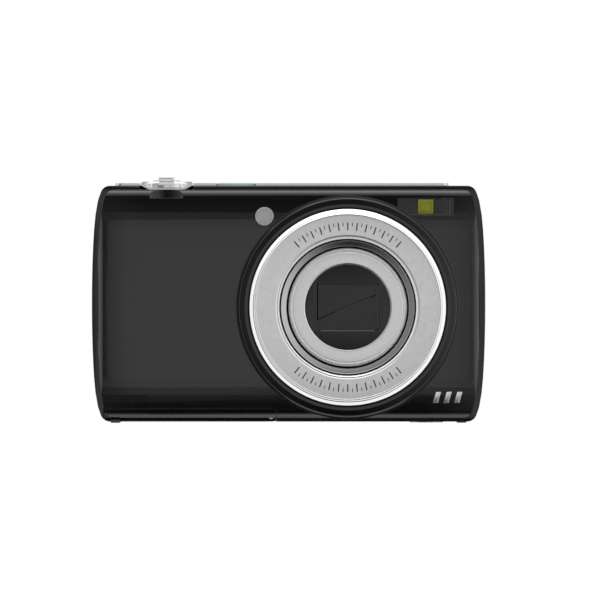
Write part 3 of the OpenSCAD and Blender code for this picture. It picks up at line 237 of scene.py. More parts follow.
def clear(name, tint, rough=0.03):
    """Thin clear plastic or glass over something: it mirrors a little and lets the rest through."""
    mat = bpy.data.materials.new(name)
    t = Tree(mat)
    smear = t.noise(240.0, 4.0)
    gloss = t.add("ShaderNodeBsdfGlossy")
    t.put(gloss, Color=(0.9, 0.9, 0.9, 1), Roughness=t.vary(smear, rough, rough + 0.04))
    see = t.add("ShaderNodeBsdfTransparent")
    t.put(see, Color=(*tint, 1))
    fresnel = t.add("ShaderNodeFresnel")
    t.put(fresnel, IOR=1.49)
    t.finish(t.mix_shaders(fresnel.outputs[0], see.outputs[0], gloss.outputs[0]))
    return mat


def glow(name, colour, strength):
    """Translucent moulded light guide."""
    mat = bpy.data.materials.new(name)
    t = Tree(mat)
    cloud = t.noise(500.0, 3.0)
    bsdf = t.add("ShaderNodeBsdfPrincipled")
    base = t.mix(cloud, shade(colour, 0.9), shade(colour, 1.1))
    t.put(bsdf, Base_Color=base, Roughness=0.22, Emission_Color=base, Emission_Strength=strength)
    t.put(bsdf, Subsurface_Weight=0.35, Subsurface_Scale=0.6 * MM)
    t.finish(bsdf.outputs[0])
    return mat


def coated_glass(name):
    """Dark, coated lens element: violet and green hints that change with the slope of its curve."""
    mat = bpy.data.materials.new(name)
    t = Tree(mat)
    layer = t.add("ShaderNodeLayerWeight")
    t.put(layer, Blend=0.35)
    violet, green, blue = (0.03, 0.012, 0.05), (0.012, 0.03, 0.03), (0.01, 0.01, 0.03)
    tint = t.ramp(layer.outputs["Facing"], [(0.0, violet), (0.45, green), (1.0, blue)])
    gloss = t.vary(t.noise(300.0), 0.015, 0.045)
    bsdf = t.add("ShaderNodeBsdfPrincipled")
    t.put(bsdf, Base_Color=tint, Roughness=gloss, IOR=1.7, Coat_Weight=1.0, Coat_Roughness=0.02)
    t.finish(bsdf.outputs[0])
    return mat


# What each finish changes from the defaults of plastic() and metal()
PLASTICS = {
    "panel_black": dict(
        colour=(0.0015, 0.0015, 0.0016), rough=0.12, grain=2600.0, depth=0.0008 * MM, spread=0.02
    ),
    "shell_black": dict(
        colour=(0.0028, 0.0028, 0.003), rough=0.2, grain=2600.0, depth=0.0015 * MM, edge=0.2 * MM, spread=0.04
    ),
    "bezel_black": dict(
        colour=(0.0018, 0.0017, 0.0018), rough=0.15, grain=2600.0, depth=0.001 * MM, spread=0.03
    ),
    "disc_black": dict(colour=(0.004, 0.0038, 0.0041), rough=0.24, grain=3000.0, depth=0.001 * MM),
    "leaf_black": dict(
        colour=(0.003, 0.0029, 0.0031), rough=0.24, grain=3000.0, depth=0.001 * MM, edge=0.05 * MM
    ),
    "lamp_plastic": dict(colour=(0.235, 0.235, 0.24), rough=0.1, grain=900.0, depth=0.001 * MM, wear=1.3),
    "flash_grey": dict(colour=(0.06, 0.058, 0.059), rough=0.25, wear=1.5),
    "flash_amber": dict(colour=(0.58, 0.6, 0.012), rough=0.25, wear=1.3),
    "key_black": dict(colour=(0.018, 0.018, 0.019), rough=0.33, grain=2200.0),
    "record_red": dict(colour=(0.35, 0.012, 0.014), rough=0.3, wear=1.2),
    "foot_rubber": dict(colour=(0.02, 0.02, 0.02), rough=0.7, grain=1200.0, depth=0.01 * MM),
    "board_green": dict(colour=(0.012, 0.09, 0.04), rough=0.35),
    "battery_grey": dict(colour=(0.05, 0.055, 0.065), rough=0.45),
    "card_blue": dict(colour=(0.015, 0.02, 0.1), rough=0.4),
    "inner_grey": dict(colour=(0.09, 0.09, 0.095), rough=0.5),
    "inner_black": dict(colour=(0.012, 0.012, 0.012), rough=0.55),
}
METALS = {
    "top_silver": dict(
        colour=(0.62, 0.615, 0.61), rough=0.26, stretch=(0.08, 1.0, 1.0), grain=4000.0, depth=0.001 * MM
    ),
    "ring_silver": dict(colour=(0.69, 0.685, 0.685), rough=0.24, grain=6000.0, depth=0.0006 * MM),
    "barrel_silver": dict(colour=(0.7, 0.695, 0.7), rough=0.24, grain=6000.0, depth=0.0006 * MM),
    "barrel_grey": dict(colour=(0.55, 0.545, 0.55), rough=0.2, grain=5000.0, depth=0.0006 * MM),
    "control_silver": dict(colour=(0.74, 0.735, 0.73), rough=0.22, grain=5000.0, depth=0.0008 * MM),
    "screw_black": dict(colour=(0.08, 0.08, 0.085), rough=0.35),
    "steel": dict(colour=(0.5, 0.49, 0.48), rough=0.28),
    "contact_gold": dict(colour=(0.72, 0.5, 0.2), rough=0.22),
}


def make_materials():
    made = {name: plastic(name, **finish) for name, finish in PLASTICS.items()}
    made.update({name: metal(name, **finish) for name, finish in METALS.items()})
    made["clear_plastic"] = clear("clear_plastic", (0.82, 0.82, 0.84))
    made["screen_glass"] = clear("screen_glass", (0.22, 0.22, 0.24), rough=0.04)
    made["glow_green"] = glow("glow_green", (0.36, 0.5, 0.43), 0.12)
    made["lens_glass"] = coated_glass("lens_glass")
    return made


# Normals --------------------------------------------------------------------------------------
SMOOTH_ANGLE = 35.0
SAME_POINT = 0.002 * MM
TINY_AREA = 1e-14


def mesh_values(items, name, width, kind=np.float64):
    """One attribute of all the items of a mesh, as an array with a row for each item."""
    values = np.empty(len(items) * width, kind)
    items.foreach_get(name, values)
    return values.reshape(-1, width) if width > 1 else values


def smooth_normals(obj):
    """Averages the normals at each point over faces that meet at a small angle. The shape stays."""
    mesh = obj.data
    vert_of = mesh_values(mesh.loops, "vertex_index", 1, np.int32)
    points = mesh_values(mesh.vertices, "co", 3)
    face_normals = mesh_values(mesh.polygons, "normal", 3)
    weights = np.maximum(mesh_values(mesh.polygons, "area", 1), TINY_AREA)
    corners = mesh_values(mesh.polygons, "loop_total", 1, np.int32)
    face_of = np.repeat(np.arange(len(mesh.polygons)), corners)
    keys = np.round(points[vert_of] / SAME_POINT).astype(np.int64)
    order = np.lexsort(keys.T)
    breaks = np.flatnonzero(np.any(np.diff(keys[order], axis=0), axis=1)) + 1
    normals = np.empty((len(mesh.loops), 3))
    cosine = math.cos(math.radians(SMOOTH_ANGLE))
    for group in np.split(order, breaks):
        faces = face_of[group]
        n = face_normals[faces]
        near = (n @ n.T) >= cosine
        total = near @ (n * weights[faces][:, None])
        length = np.linalg.norm(total, axis=1)
        length[length == 0] = 1
        normals[group] = total / length[:, None]
    mesh.polygons.foreach_set("use_smooth", np.ones(len(mesh.polygons), bool))
    mesh.normals_split_custom_set(normals.tolist())


# The shell's sides: a wide arc, and a turn inwards that grows fast near the top and the bottom
SIDE_ARC = 660.0
SIDE_TURN = 1.5
SIDE_TURN_POWER = 8
SIDE_FROM = 47.0
SIDE_MIN_X = 0.9
SIDE_MAX_Y = 0.08
BODY_MIDDLE_Z = 30.275
BODY_HALF_H = 29.975


def round_side_normals(obj):
    """Gives the shell's side faces the normals of their true curve, so long thin faces shade evenly."""
    mesh = obj.data
    normals = [Vector(corner.vector) for corner in mesh.corner_normals]
    for face in mesh.polygons:
        side = math.copysign(1.0, face.normal.x)
        is_side = abs(face.normal.x) >= SIDE_MIN_X and abs(face.normal.y) <= SIDE_MAX_Y
        if not is_side or face.center.x * side < SIDE_FROM * MM:
            continue
        for i in face.loop_indices:
            dz = mesh.vertices[mesh.loops[i].vertex_index].co.z / MM - BODY_MIDDLE_Z
            dz = max(-BODY_HALF_H, min(BODY_HALF_H, dz))
            turn = SIDE_TURN_POWER * SIDE_TURN * (dz / BODY_HALF_H) ** (SIDE_TURN_POWER - 1) / BODY_HALF_H
            normals[i] = Vector((side, 0.0, 2 * dz / SIDE_ARC + turn)).normalized()
    mesh.normals_split_custom_set([tuple(n) for n in normals])


def dress_cad(materials):
    for name, obj in NODES.items():
        mesh = obj.data
        material = materials[NODE_SLOT[name]]
        if mesh.materials:
            for i in range(len(mesh.materials)):
                mesh.materials[i] = material
        else:
            mesh.materials.append(material)
        smooth_normals(obj)
    round_side_normals(NODES["rear_cover"])


# Piece building -------------------------------------------------------------------------------
MERGE = 0.0005 * MM
SHARP_ANGLE = 32.0
CORNER_SHARE = 0.45
ON_AXIS = 1e-6
BEVEL_STEPS = 3


def fillet(points, closed, steps=5):
    """Rounds the corners of a profile: each point is (a, b) or (a, b, radius)."""
    out = []
    count = len(points)
    for i, point in enumerate(points):
        here = Vector(point[:2])
        radius = point[2] if len(point) > 2 else 0.0
        ends = not closed and i in (0, count - 1)
        if not radius or ends:
            out.append(here)
            continue
        before = Vector(points[i - 1][:2]) - here
        after = Vector(points[(i + 1) % count][:2]) - here
        room = CORNER_SHARE * min(before.length, after.length)
        half = before.angle(after) / 2
        cut = min(radius / math.tan(half), room)
        radius = cut * math.tan(half)
        before.normalize()
        after.normalize()
        centre = here + (before + after).normalized() * (radius / math.sin(half))
        start = here + before * cut - centre
        end = here + after * cut - centre
        turn = start.angle_signed(end)
        for k in range(steps + 1):
            out.append(centre + turn_by(start, math.degrees(-turn * k / steps)))
    return out


def turn_by(point, degrees):
    a = math.radians(degrees)
    x, y = point
    return Vector((x * math.cos(a) - y * math.sin(a), x * math.sin(a) + y * math.cos(a)))


def mesh_piece(name, bm, slot, body, nodes=()):
    """Finishes a piece: smooth faces, sharp edges, its slot and finish, its body and what it replaces."""
    bmesh.ops.remove_doubles(bm, verts=bm.verts, dist=MERGE)
    bmesh.ops.recalc_face_normals(bm, faces=bm.faces)
    for face in bm.faces:
        face.smooth = True
    limit = math.radians(SHARP_ANGLE)
    for edge in bm.edges:
        edge.smooth = len(edge.link_faces) == 2 and edge.calc_face_angle(0.0) < limit
    mesh = bpy.data.meshes.new(name)
    bm.to_mesh(mesh)
    bm.free()
    obj = bpy.data.objects.new(name, mesh)
    SCENE.collection.objects.link(obj)
    mesh.materials.append(materials[slot])
    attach(obj, body)
    if nodes:
        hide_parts(*nodes)
    return obj


def turned(name, profile, centre, axis, slot, body, nodes=(), segments=192, closed=True, steps=5):
    """A turned piece. A profile point is (radius, place along the axis, corner radius) in millimetres."""
    bm = bmesh.new()
    rings = []
    for radius, along in fillet(profile, closed, steps):
        count = segments if radius >= ON_AXIS else 1
        places = [spun(radius, along, 2 * math.pi * i / count, centre, axis) for i in range(count)]
        rings.append([bm.verts.new(place) for place in places])
    following = rings[1:] + rings[:1] if closed else rings[1:]
    for one, two in zip(rings, following):
        for i in range(segments):
            j = (i + 1) % segments
            corners = [one[i % len(one)], one[j % len(one)], two[j % len(two)], two[i % len(two)]]
            distinct = list(dict.fromkeys(corners))
            if len(distinct) > 2:
                bm.faces.new(distinct)
    return mesh_piece(name, bm, slot, body, nodes)


def spun(radius, along, angle, centre, axis):
    u, v = radius * math.cos(angle), radius * math.sin(angle)
    if axis == "y":
        return (centre[0] + u * MM, along * MM, centre[2] + v * MM)
    return (centre[0] + u * MM, centre[1] + v * MM, along * MM)


def plate(name, outlines, low, high, facing, slot, body, nodes=(), edge=0.1):
    """A flat piece with rounded edges, cut from closed outlines in millimetres.
    facing "y" draws in X and Z and goes from low to high in Y, and "z" draws in X and Y."""
    curve = bpy.data.curves.new(name, "CURVE")
    curve.dimensions = "2D"
    curve.fill_mode = "BOTH"
    curve.extrude = max((high - low) / 2 - edge, 0.0) * MM
    curve.bevel_depth = edge * MM
    curve.bevel_resolution = BEVEL_STEPS
    curve.offset = -edge * MM
    for outline in outlines:
        spline = curve.splines.new("POLY")
        spline.points.add(len(outline) - 1)
        for point, (a, b) in zip(spline.points, outline):
            point.co = (a * MM, b * MM, 0, 1)
        spline.use_cyclic_u = True
    holder = bpy.data.objects.new(name + "_outline", curve)
    SCENE.collection.objects.link(holder)
    mesh = bpy.data.meshes.new_from_object(holder.evaluated_get(bpy.context.evaluated_depsgraph_get()))
    bpy.data.objects.remove(holder)
    bpy.data.curves.remove(curve)
    bm = bmesh.new()
    bm.from_mesh(mesh)
    bpy.data.meshes.remove(mesh)
    middle = (low + high) / 2 * MM
    for vert in bm.verts:
        x, y, z = vert.co
        vert.co = (x, middle - z, y) if facing == "y" else (x, y, middle + z)
    return mesh_piece(name, bm, slot, body, nodes)


def circle(x, y, radius, count=96, start=0.0, turn=360.0):
    """Points round a circle, or along an arc with both of its ends."""
    steps = count if turn >= 360.0 else count + 1
    angles = [math.radians(start + turn * i / count) for i in range(steps)]
    return [(x + radius * math.cos(a), y + radius * math.sin(a)) for a in angles]


def rounded_box(x0, y0, x1, y1, radius, steps=8):
    left, right, low, high = x0 + radius, x1 - radius, y0 + radius, y1 - radius
    points = []
    for x, y, start in ((right, high, 0), (left, high, 90), (left, low, 180), (right, low, 270)):
        points += circle(x, y, radius, steps, start, 90)
    return points


def mid(node):
    low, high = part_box(node)
    return (low + high) / 2


def low_mm(node):
    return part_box(node)[0] / MM


def high_mm(node):
    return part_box(node)[1] / MM


# Front panel ----------------------------------------------------------------------------------
SIDE_FLAT = 35.0
SIDE_SAG = 0.00425
SAG_STEPS = 10
SAG_FRONT_Y = -5.0
CUT_REACH = 0.0001 * MM


def bow_sides(node):
    """A copy of a node with its front bowed back a little at the sides, which needs more faces there."""
    bm = bmesh.new()
    bm.from_mesh(NODES[node].data)
    bmesh.ops.remove_doubles(bm, verts=bm.verts, dist=MERGE)
    reach = high_mm("front_cover").x
    for side in (-1, 1):
        for i in range(SAG_STEPS):
            cut = Vector((side * (SIDE_FLAT + (reach - SIDE_FLAT) * i / SAG_STEPS) * MM, 0, 0))
            geom = list(bm.verts) + list(bm.edges) + list(bm.faces)
            bmesh.ops.bisect_plane(bm, geom=geom, plane_co=cut, plane_no=(1, 0, 0), dist=CUT_REACH)
    for vert in bm.verts:
        past = max(abs(vert.co.x) / MM - SIDE_FLAT, 0.0)
        share = min(max(SAG_FRONT_Y - vert.co.y / MM, 0.0), 1.0)
        vert.co.y += SIDE_SAG * past * past * share * MM
    copy = mesh_piece(node + "_bowed", bm, NODE_SLOT[node], NODE_BODY[node], [node])
    smooth_normals(copy)
    NODES[node] = copy


# Lens -----------------------------------------------------------------------------------------
# Radii are from the lens's axis and depths are in Y, in millimetres
RING_BORE_R = 17.3
RING_FLAT = 0.2
BEZEL_SLOPE = 12.0
BEZEL_BACK_Y = -11.4
BEZEL_LEDGE_Y = -7.6
BEZEL_FOOT_Y = -6.4
BEZEL_FLANGE = 0.45
BEZEL_FLANGE_Y = -9.3
MIDDLE_IN_R, MIDDLE_OUT_R = 15.5, 17.0
FRONT_BORE_R, FRONT_IN_R, FRONT_OUT_R = 10.85, 14.25, 15.05
FRONT_WEB_Y = -11.7
MARK_SPAN = 39.0
MARK_COUNT = 13
MARK_DEPTH = 0.02
MARK_OUT_R = 21.5
LONG_MARK = (19.5, 0.16)
SHORT_MARK = (20.6, 0.1)


def half_width(node):
    return (high_mm(node).x - low_mm(node).x) / 2


def add_lens():
    axis = mid("lens_ring")
    lens = (axis.x, 0.0, axis.z)
    add_ring(lens)
    add_ring_marks(axis / MM, low_mm("lens_ring").y + RING_FLAT)
    add_bezel(lens)
    add_barrels(lens)


def add_ring(lens):
    """The ring's flat band lies between a stepped, polished bore and a raised bead with a bevel."""
    front, back = low_mm("lens_ring").y, high_mm("lens_ring").y
    bore, rim = RING_BORE_R, half_width("lens_ring")
    turned("ring_metal", [
        (bore, back, 0), (bore, front + 0.75, 0.08),
        (bore + 0.42, front + 0.32, 0.06), (bore + 0.62, front + 0.42, 0.05),
        (bore + 1.0, front + RING_FLAT, 0.06), (rim - 1.72, front + RING_FLAT, 0.04),
        (rim - 1.6, front + 0.03, 0.05), (rim - 1.3, front, 0.05),
        (rim - 1.08, front + 0.26, 0.05), (rim - 0.86, front + 0.34, 0.05),
        (rim - 0.06, front + 1.12, 0.06), (rim, front + 1.3, 0.06), (rim, back, 0),
    ], lens, "y", "ring_silver", "root", ["lens_ring"])


def add_bezel(lens):
    """The bezel's face slopes back from the lens ring to a round rim, over a thin flange."""
    ring_r, bezel_r = half_width("lens_ring"), half_width("lens_bezel")
    lip = low_mm("lens_bezel").y
    inner, outer = RING_BORE_R + 0.2, ring_r + 0.1
    rim = bezel_r - 0.35
    rim_y = lip + (rim - ring_r - 1.3) * math.tan(math.radians(BEZEL_SLOPE))
    flange_r = bezel_r + BEZEL_FLANGE
    turned("bezel_moulding", [
        (inner, BEZEL_BACK_Y, 0), (outer, BEZEL_BACK_Y, 0), (outer, lip + 0.35, 0),
        (ring_r + 0.4, lip, 0.12), (ring_r + 1.2, lip, 0.3),
        (rim, rim_y, 0.45), (bezel_r, rim_y + 0.7, 0.5), (bezel_r, BEZEL_FLANGE_Y, 0),
        (flange_r, BEZEL_FLANGE_Y + 0.14, 0.04), (flange_r, BEZEL_FOOT_Y, 0),
        (bezel_r - 1.0, BEZEL_FOOT_Y, 0), (bezel_r - 1.0, BEZEL_LEDGE_Y, 0),
        (20.0, BEZEL_LEDGE_Y, 0), (inner, -9.9, 0),
    ], lens, "y", "bezel_black", "root", ["lens_bezel"], steps=7)


def add_barrels(lens):
    """The middle barrel has a polished cone at its mouth, and the front barrel a grooved face."""
    front, back = low_mm("middle_barrel").y, high_mm("middle_barrel").y
    turned("middle_tube", [
        (MIDDLE_IN_R, front + 0.42, 0.04), (MIDDLE_OUT_R - 0.28, front + 0.07, 0.06),
        (MIDDLE_OUT_R - 0.14, front, 0.05), (MIDDLE_OUT_R, front + 0.14, 0.06),
        (MIDDLE_OUT_R, back, 0), (MIDDLE_IN_R, back, 0),
    ], lens, "y", "barrel_grey", "middle_barrel", ["middle_barrel"])

    front, back = low_mm("front_barrel").y, high_mm("front_barrel").y
    groove = front + 0.1
    turned("front_tube", [
        (FRONT_BORE_R, FRONT_WEB_Y, 0), (FRONT_BORE_R, front + 0.12, 0.05), (11.2, front, 0.06),
        (13.85, front, 0.03), (13.95, groove, 0.03), (14.15, groove, 0.03), (14.25, front, 0.03),
        (14.6, front + 0.02, 0.1), (FRONT_OUT_R, front + 0.5, 0.2), (FRONT_OUT_R, back, 0),
        (FRONT_IN_R, back, 0), (FRONT_IN_R, FRONT_WEB_Y, 0),
    ], lens, "y", "barrel_silver", "front_barrel", ["front_barrel"])


def add_ring_marks(centre, face_y):
    """Engraved, filled scale marks round the top and the bottom of the ring's flat band."""
    outlines = []
    middle = Vector((centre.x, centre.z))
    last = 2 * MARK_COUNT - 2
    for side in (90.0, 270.0):
        for i in range(last + 1):
            inner, half = LONG_MARK if i % 2 == 0 else SHORT_MARK
            radial = turn_by((1, 0), side - MARK_SPAN + 2 * MARK_SPAN * i / last)
            across = Vector((-radial.y, radial.x))
            corners = ((inner, -half), (MARK_OUT_R, -half), (MARK_OUT_R, half), (inner, half))
            outlines.append([tuple(middle + radial * r + across * s) for r, s in corners])
    low, high = face_y - MARK_DEPTH, face_y + 0.05
    plate("ring_marks", outlines, low, high, "y", "key_black", "root", edge=0.005)


# Lens barrier disc ----------------------------------------------------------------------------
OPENING_HALF_W = 7.35
OPENING_HALF_H = 5.75
OPENING_STEP = 0.32
OPENING_SLOT = 0.45
NOTCH = 0.4
FRAME_RISE = 0.26
SEAM_ANGLE = 22.9
SEAM_STRIP = 0.26


def add_barrier_disc():
    """A disc with a stepped opening, notched at its corners, and a slot at the left of the leaves."""
    centre = mid("barrier_disc") / MM
    cx, cz = centre.x, centre.z
    front, back = low_mm("barrier_disc").y, high_mm("barrier_disc").y
    disc_r = half_width("barrier_disc")
    half_w, half_h, step = OPENING_HALF_W, OPENING_HALF_H, OPENING_STEP
    body = NODE_BODY["barrier_disc"]
    left = cx - half_w - OPENING_SLOT
    opening = rounded_box(left, cz - half_h - step, cx + half_w + step, cz + half_h + step, 0.5)
    face = front + 0.3
    outlines = [circle(cx, cz, disc_r, 192), opening]
    plate("disc_face", outlines, front, face, "y", "disc_black", body, ["barrier_disc"])
    inner = []
    for sx, sz in ((1, 1), (-1, 1), (-1, -1), (1, -1)):
        x, z = cx + half_w if sx > 0 else left, cz + sz * half_h
        corner = [
            (x, z - sz * NOTCH), (x + sx * NOTCH, z - sz * NOTCH), (x + sx * NOTCH, z + sz * NOTCH),
            (x - sx * NOTCH, z + sz * NOTCH), (x - sx * NOTCH, z),
        ]
        inner += corner if sx * sz > 0 else corner[::-1]
    outlines = [circle(cx, cz, disc_r - 0.2), inner]
    plate("disc_step", outlines, front + 0.26, back, "y", "disc_black", body, edge=0.06)
    add_disc_frame(centre, face, body)
    add_leaf_seal(centre)


def add_disc_frame(centre, face, body):
    """Thin bars on the opening's right and lower steps, tilted so that they catch the light."""
    reach_w = OPENING_HALF_W - NOTCH - 0.15
    reach_h = OPENING_HALF_H - NOTCH - 0.15
    right = centre.x + OPENING_HALF_W + OPENING_STEP / 2
    low = centre.z - OPENING_HALF_H - OPENING_STEP / 2
    bars = {
        "disc_frame_right": ((right, centre.z + reach_h), (right, centre.z - reach_h)),
        "disc_frame_low": ((centre.x + reach_w, low), (centre.x - reach_w, low)),
    }
    for name, (start, end) in bars.items():
        wedge(name, start, end, OPENING_STEP, face, FRAME_RISE, "disc_black", body)


def add_leaf_seal(centre):
    """A thin strip on the upper leaf, along the slanted seam between the leaves."""
    along = turn_by((OPENING_HALF_W - 0.1, 0), SEAM_ANGLE) / math.cos(math.radians(SEAM_ANGLE))
    middle = Vector((centre.x, centre.z)) + turn_by((0, SEAM_STRIP / 2 + 0.04), SEAM_ANGLE)
    face = low_mm("upper_leaf").y
    body = NODE_BODY["upper_leaf"]
    wedge("leaf_seal", middle - along, middle + along, SEAM_STRIP, face, 0.06, "leaf_black", body)


WEDGE_BACK = 0.05


def wedge(name, start, end, width, face, rise, slot, body):
    """A thin bar along a line in the front view, proud of the face on its left and level on its right."""
    start, end = Vector(start), Vector(end)
    out = (end - start).normalized().orthogonal() * (width / 2)
    bm = bmesh.new()
    corners = [(start + out, -rise), (end + out, -rise), (end - out, 0.0), (start - out, 0.0)]
    front = [bm.verts.new((p.x * MM, (face + y) * MM, p.y * MM)) for p, y in corners]
    back = [bm.verts.new((p.x * MM, (face + WEDGE_BACK) * MM, p.y * MM)) for p, _ in corners]
    bm.faces.new(front)
    bm.faces.new(back[::-1])
    for i in range(4):
        j = (i + 1) % 4
        bm.faces.new((front[i], back[i], back[j], front[j]))
    return mesh_piece(name, bm, slot, body)


# Front details --------------------------------------------------------------------------------
AHEAD = -0.1
search_trees = {}


def surface(node, x, z):
    """Where the front of a node is at a place in the front view, in millimetres."""
    if node not in search_trees:
        bm = bmesh.new()
        bm.from_mesh(NODES[node].data)
        search_trees[node] = BVHTree.FromBMesh(bm)
        bm.free()
    hit = search_trees[node].ray_cast(Vector((x * MM, AHEAD, z * MM)), Vector((0, 1, 0)))[0]
    return hit.y / MM


def drape(obj, node):
    """Moves each point of a flat front piece by how far the node's surface is from Y = 0."""
    for vert in obj.data.vertices:
        vert.co.y += surface(node, vert.co.x / MM, vert.co.z / MM) * MM


LAMP_BOWL = 0.24
LAMP_RINGS = 4
LAMP_RING_GAP = 0.4
FLASH_RIBS = 5
FLASH_INSET = 0.5
BAR_X, BAR_Z = 36.6, 5.1
BAR_GAP, BAR_WIDTH, BAR_LEAN, BAR_HEIGHT = 2.7, 1.3, 0.8, 2.8


def add_front_details():
    add_lamp()
    add_flash_glass()
    add_flash_inside()
    bars = []
    for i in range(3):
        x, top = BAR_X + BAR_GAP * i, BAR_Z + BAR_HEIGHT
        foot = [(x, BAR_Z), (x + BAR_WIDTH, BAR_Z)]
        bars.append(foot + [(x + BAR_LEAN + BAR_WIDTH, top), (x + BAR_LEAN, top)])
    accent = plate("front_accent", bars, -0.06, 0.2, "y", "control_silver", "root", edge=0.04)
    drape(accent, "front_cover")


def add_lamp():
    """The focus lamp: a shallow bowl of stepped rings inside a round rim."""
    lamp = mid("lamp_lens")
    lamp_r = half_width("lamp_lens")
    front, back = low_mm("lamp_lens").y, high_mm("lamp_lens").y
    profile = [(0.0, front + LAMP_BOWL)]
    for i in range(1, LAMP_RINGS + 1):
        r = LAMP_RING_GAP * i
        depth = LAMP_BOWL * (1 - (r / lamp_r) ** 2)
        profile += [(r - 0.03, front + depth, 0.02), (r + 0.03, front + depth - 0.04, 0.02)]
    profile += [
        (lamp_r - 0.45, front + 0.05, 0.05), (lamp_r - 0.3, front - 0.08, 0.08),
        (lamp_r - 0.04, front + 0.05, 0.1), (lamp_r, front + 0.4, 0), (lamp_r, back, 0), (0.0, back),
    ]
    place = (lamp.x, 0, lamp.z)
    nodes = ["lamp_lens"]
    turned("lamp_glass", profile, place, "y", "lamp_plastic", "root", nodes, segments=96, closed=False)


def add_flash_glass():
    """The flash's window, bent to follow the crown of the panel beside it."""
    low, high = low_mm("flash_window"), high_mm("flash_window")
    outline = rounded_box(low.x, low.z, high.x, high.z, 0.45)
    nodes = ["flash_window"]
    glass = plate("flash_glass", [outline], low.y, high.y, "y", "clear_plastic", "root", nodes, edge=0.12)
    beside = high.x + 0.8
    level = surface("front_cover", beside, low.z)
    for vert in glass.data.vertices:
        vert.co.y += (surface("front_cover", beside, vert.co.z / MM) - level) * MM


def add_flash_inside():
    """Sloped ribs beside the flash block, and the tube's bright middle."""
    block_low, block_high = low_mm("flash_tube"), high_mm("flash_tube")
    window_low, window_high = low_mm("flash_window"), high_mm("flash_window")
    face = low_mm("flash_reflector").y
    step = (window_high.x - block_high.x - 2 * FLASH_INSET) / FLASH_RIBS
    for i in range(FLASH_RIBS):
        x = block_high.x + FLASH_INSET + (i + 0.5) * step
        foot, top = (x, window_low.z + FLASH_INSET), (x, window_high.z - FLASH_INSET)
        wedge("flash_rib_%d" % (i + 1), foot, top, step * 0.6, face, 0.3, "inner_grey", "root")
    x0, x1 = block_low.x + FLASH_INSET, block_high.x - FLASH_INSET
    core = rounded_box(x0, block_low.z + 0.75, x1, block_high.z - 0.75, 0.5)
    low, high = block_low.y - 0.2, block_low.y + 0.3
    plate("flash_core", [core], low, high, "y", "flash_amber", "root", edge=0.18)


# Top controls ---------------------------------------------------------------------------------
SHUTTER_CAP_R = 3.85
SHUTTER_SKIRT_LOW, SHUTTER_SKIRT_HIGH = 56.3, 56.9
POWER_CAP_LOW = 60.15
STEM_R = 1.4
TAB_HALF = 1.72
TAB_WALL = 0.42


def add_top_controls():
    add_shutter_cap()
    add_lever_tab()
    add_power_button()


def add_shutter_cap():
    """The shutter button: a shallow dish with a round edge, a skirt and a stem."""
    place = mid("shutter_button")
    foot, top = low_mm("shutter_button").z, high_mm("shutter_button").z
    r, skirt_r = SHUTTER_CAP_R, SHUTTER_CAP_R + 0.6
    turned("shutter_cap", [
        (0.0, top - 0.2), (1.6, top - 0.17, 0.4), (2.9, top - 0.02, 0.3),
        (r - 0.55, top, 0.2), (r - 0.05, top - 0.32, 0.3), (r, top - 0.8, 0.1),
        (r, SHUTTER_SKIRT_HIGH, 0), (skirt_r, SHUTTER_SKIRT_HIGH, 0), (skirt_r, SHUTTER_SKIRT_LOW, 0),
        (STEM_R, SHUTTER_SKIRT_LOW, 0), (STEM_R, foot, 0), (0.0, foot),
    ], place, "z", "control_silver", "shutter_button", ["shutter_button"], segments=128, closed=False)


def add_lever_tab():
    """A thin frame on the front of the zoom lever's tab."""
    centre = mid("shutter_button").x / MM
    front, top = low_mm("zoom_lever").y, high_mm("zoom_lever").z
    half, hollow_half = TAB_HALF, TAB_HALF - TAB_WALL
    face = rounded_box(centre - half, top - 1.2, centre + half, top - 0.12, 0.25)
    hollow = rounded_box(centre - hollow_half, top - 0.95, centre + hollow_half, top - 0.42, 0.2)
    outlines = [face, hollow]
    low, high = front - 0.1, front + 0.1
    plate("lever_tab_rim", outlines, low, high, "y", "control_silver", "zoom_lever", edge=0.08)


def add_power_button():
    """The power button, its light ring and its sign."""
    place = mid("power_button")
    foot, top = low_mm("power_button").z, high_mm("power_button").z
    r = half_width("power_button")
    turned("power_cap", [
        (0.0, top - 0.16), (1.8, top - 0.12, 0.4), (r - 0.35, top, 0.15), (r - 0.02, top - 0.25, 0.15),
        (r, POWER_CAP_LOW, 0), (STEM_R, POWER_CAP_LOW, 0), (STEM_R, foot, 0), (0.0, foot),
    ], place, "z", "control_silver", "power_button", ["power_button"], segments=128, closed=False)
    low, high = low_mm("power_ring").z, high_mm("power_ring").z
    r = half_width("power_ring")
    turned("power_light", [
        (r - 0.9, low, 0), (r - 0.9, high - 0.02, 0.1), (r - 0.45, high, 0.2),
        (r, high - 0.12, 0.15), (r, low, 0),
    ], place, "z", "glow_green", "root", ["power_ring"], segments=128)
    x, y = place.x / MM, place.y / MM
    arc = circle(x, y, 1.25, 40, 125, 290) + circle(x, y, 0.98, 40, 55, -290)
    stem = [(x - 0.13, y + 0.35), (x + 0.13, y + 0.35), (x + 0.13, y + 1.4), (x - 0.13, y + 1.4)]
    low, high = top - 0.2, top - 0.105
    plate("power_mark", [arc, stem], low, high, "z", "key_black", "power_button", edge=0.01)


# Back keys and screen -------------------------------------------------------------------------
KEY_FLANGE = 0.7
KEY_FLANGE_DEPTH = 0.45
OK_FLANGE = 0.3
KEY_MARK = 0.03
DISH_SINK = 0.13
ARROW_TIP, ARROW_TAIL, ARROW_HALF = 8.05, 6.9, 0.95
ROUND_KEYS = {
    "record_button": "record_red",
    "menu_button": "key_black",
    "play_button": "key_black",
    "delete_button": "key_black",
}


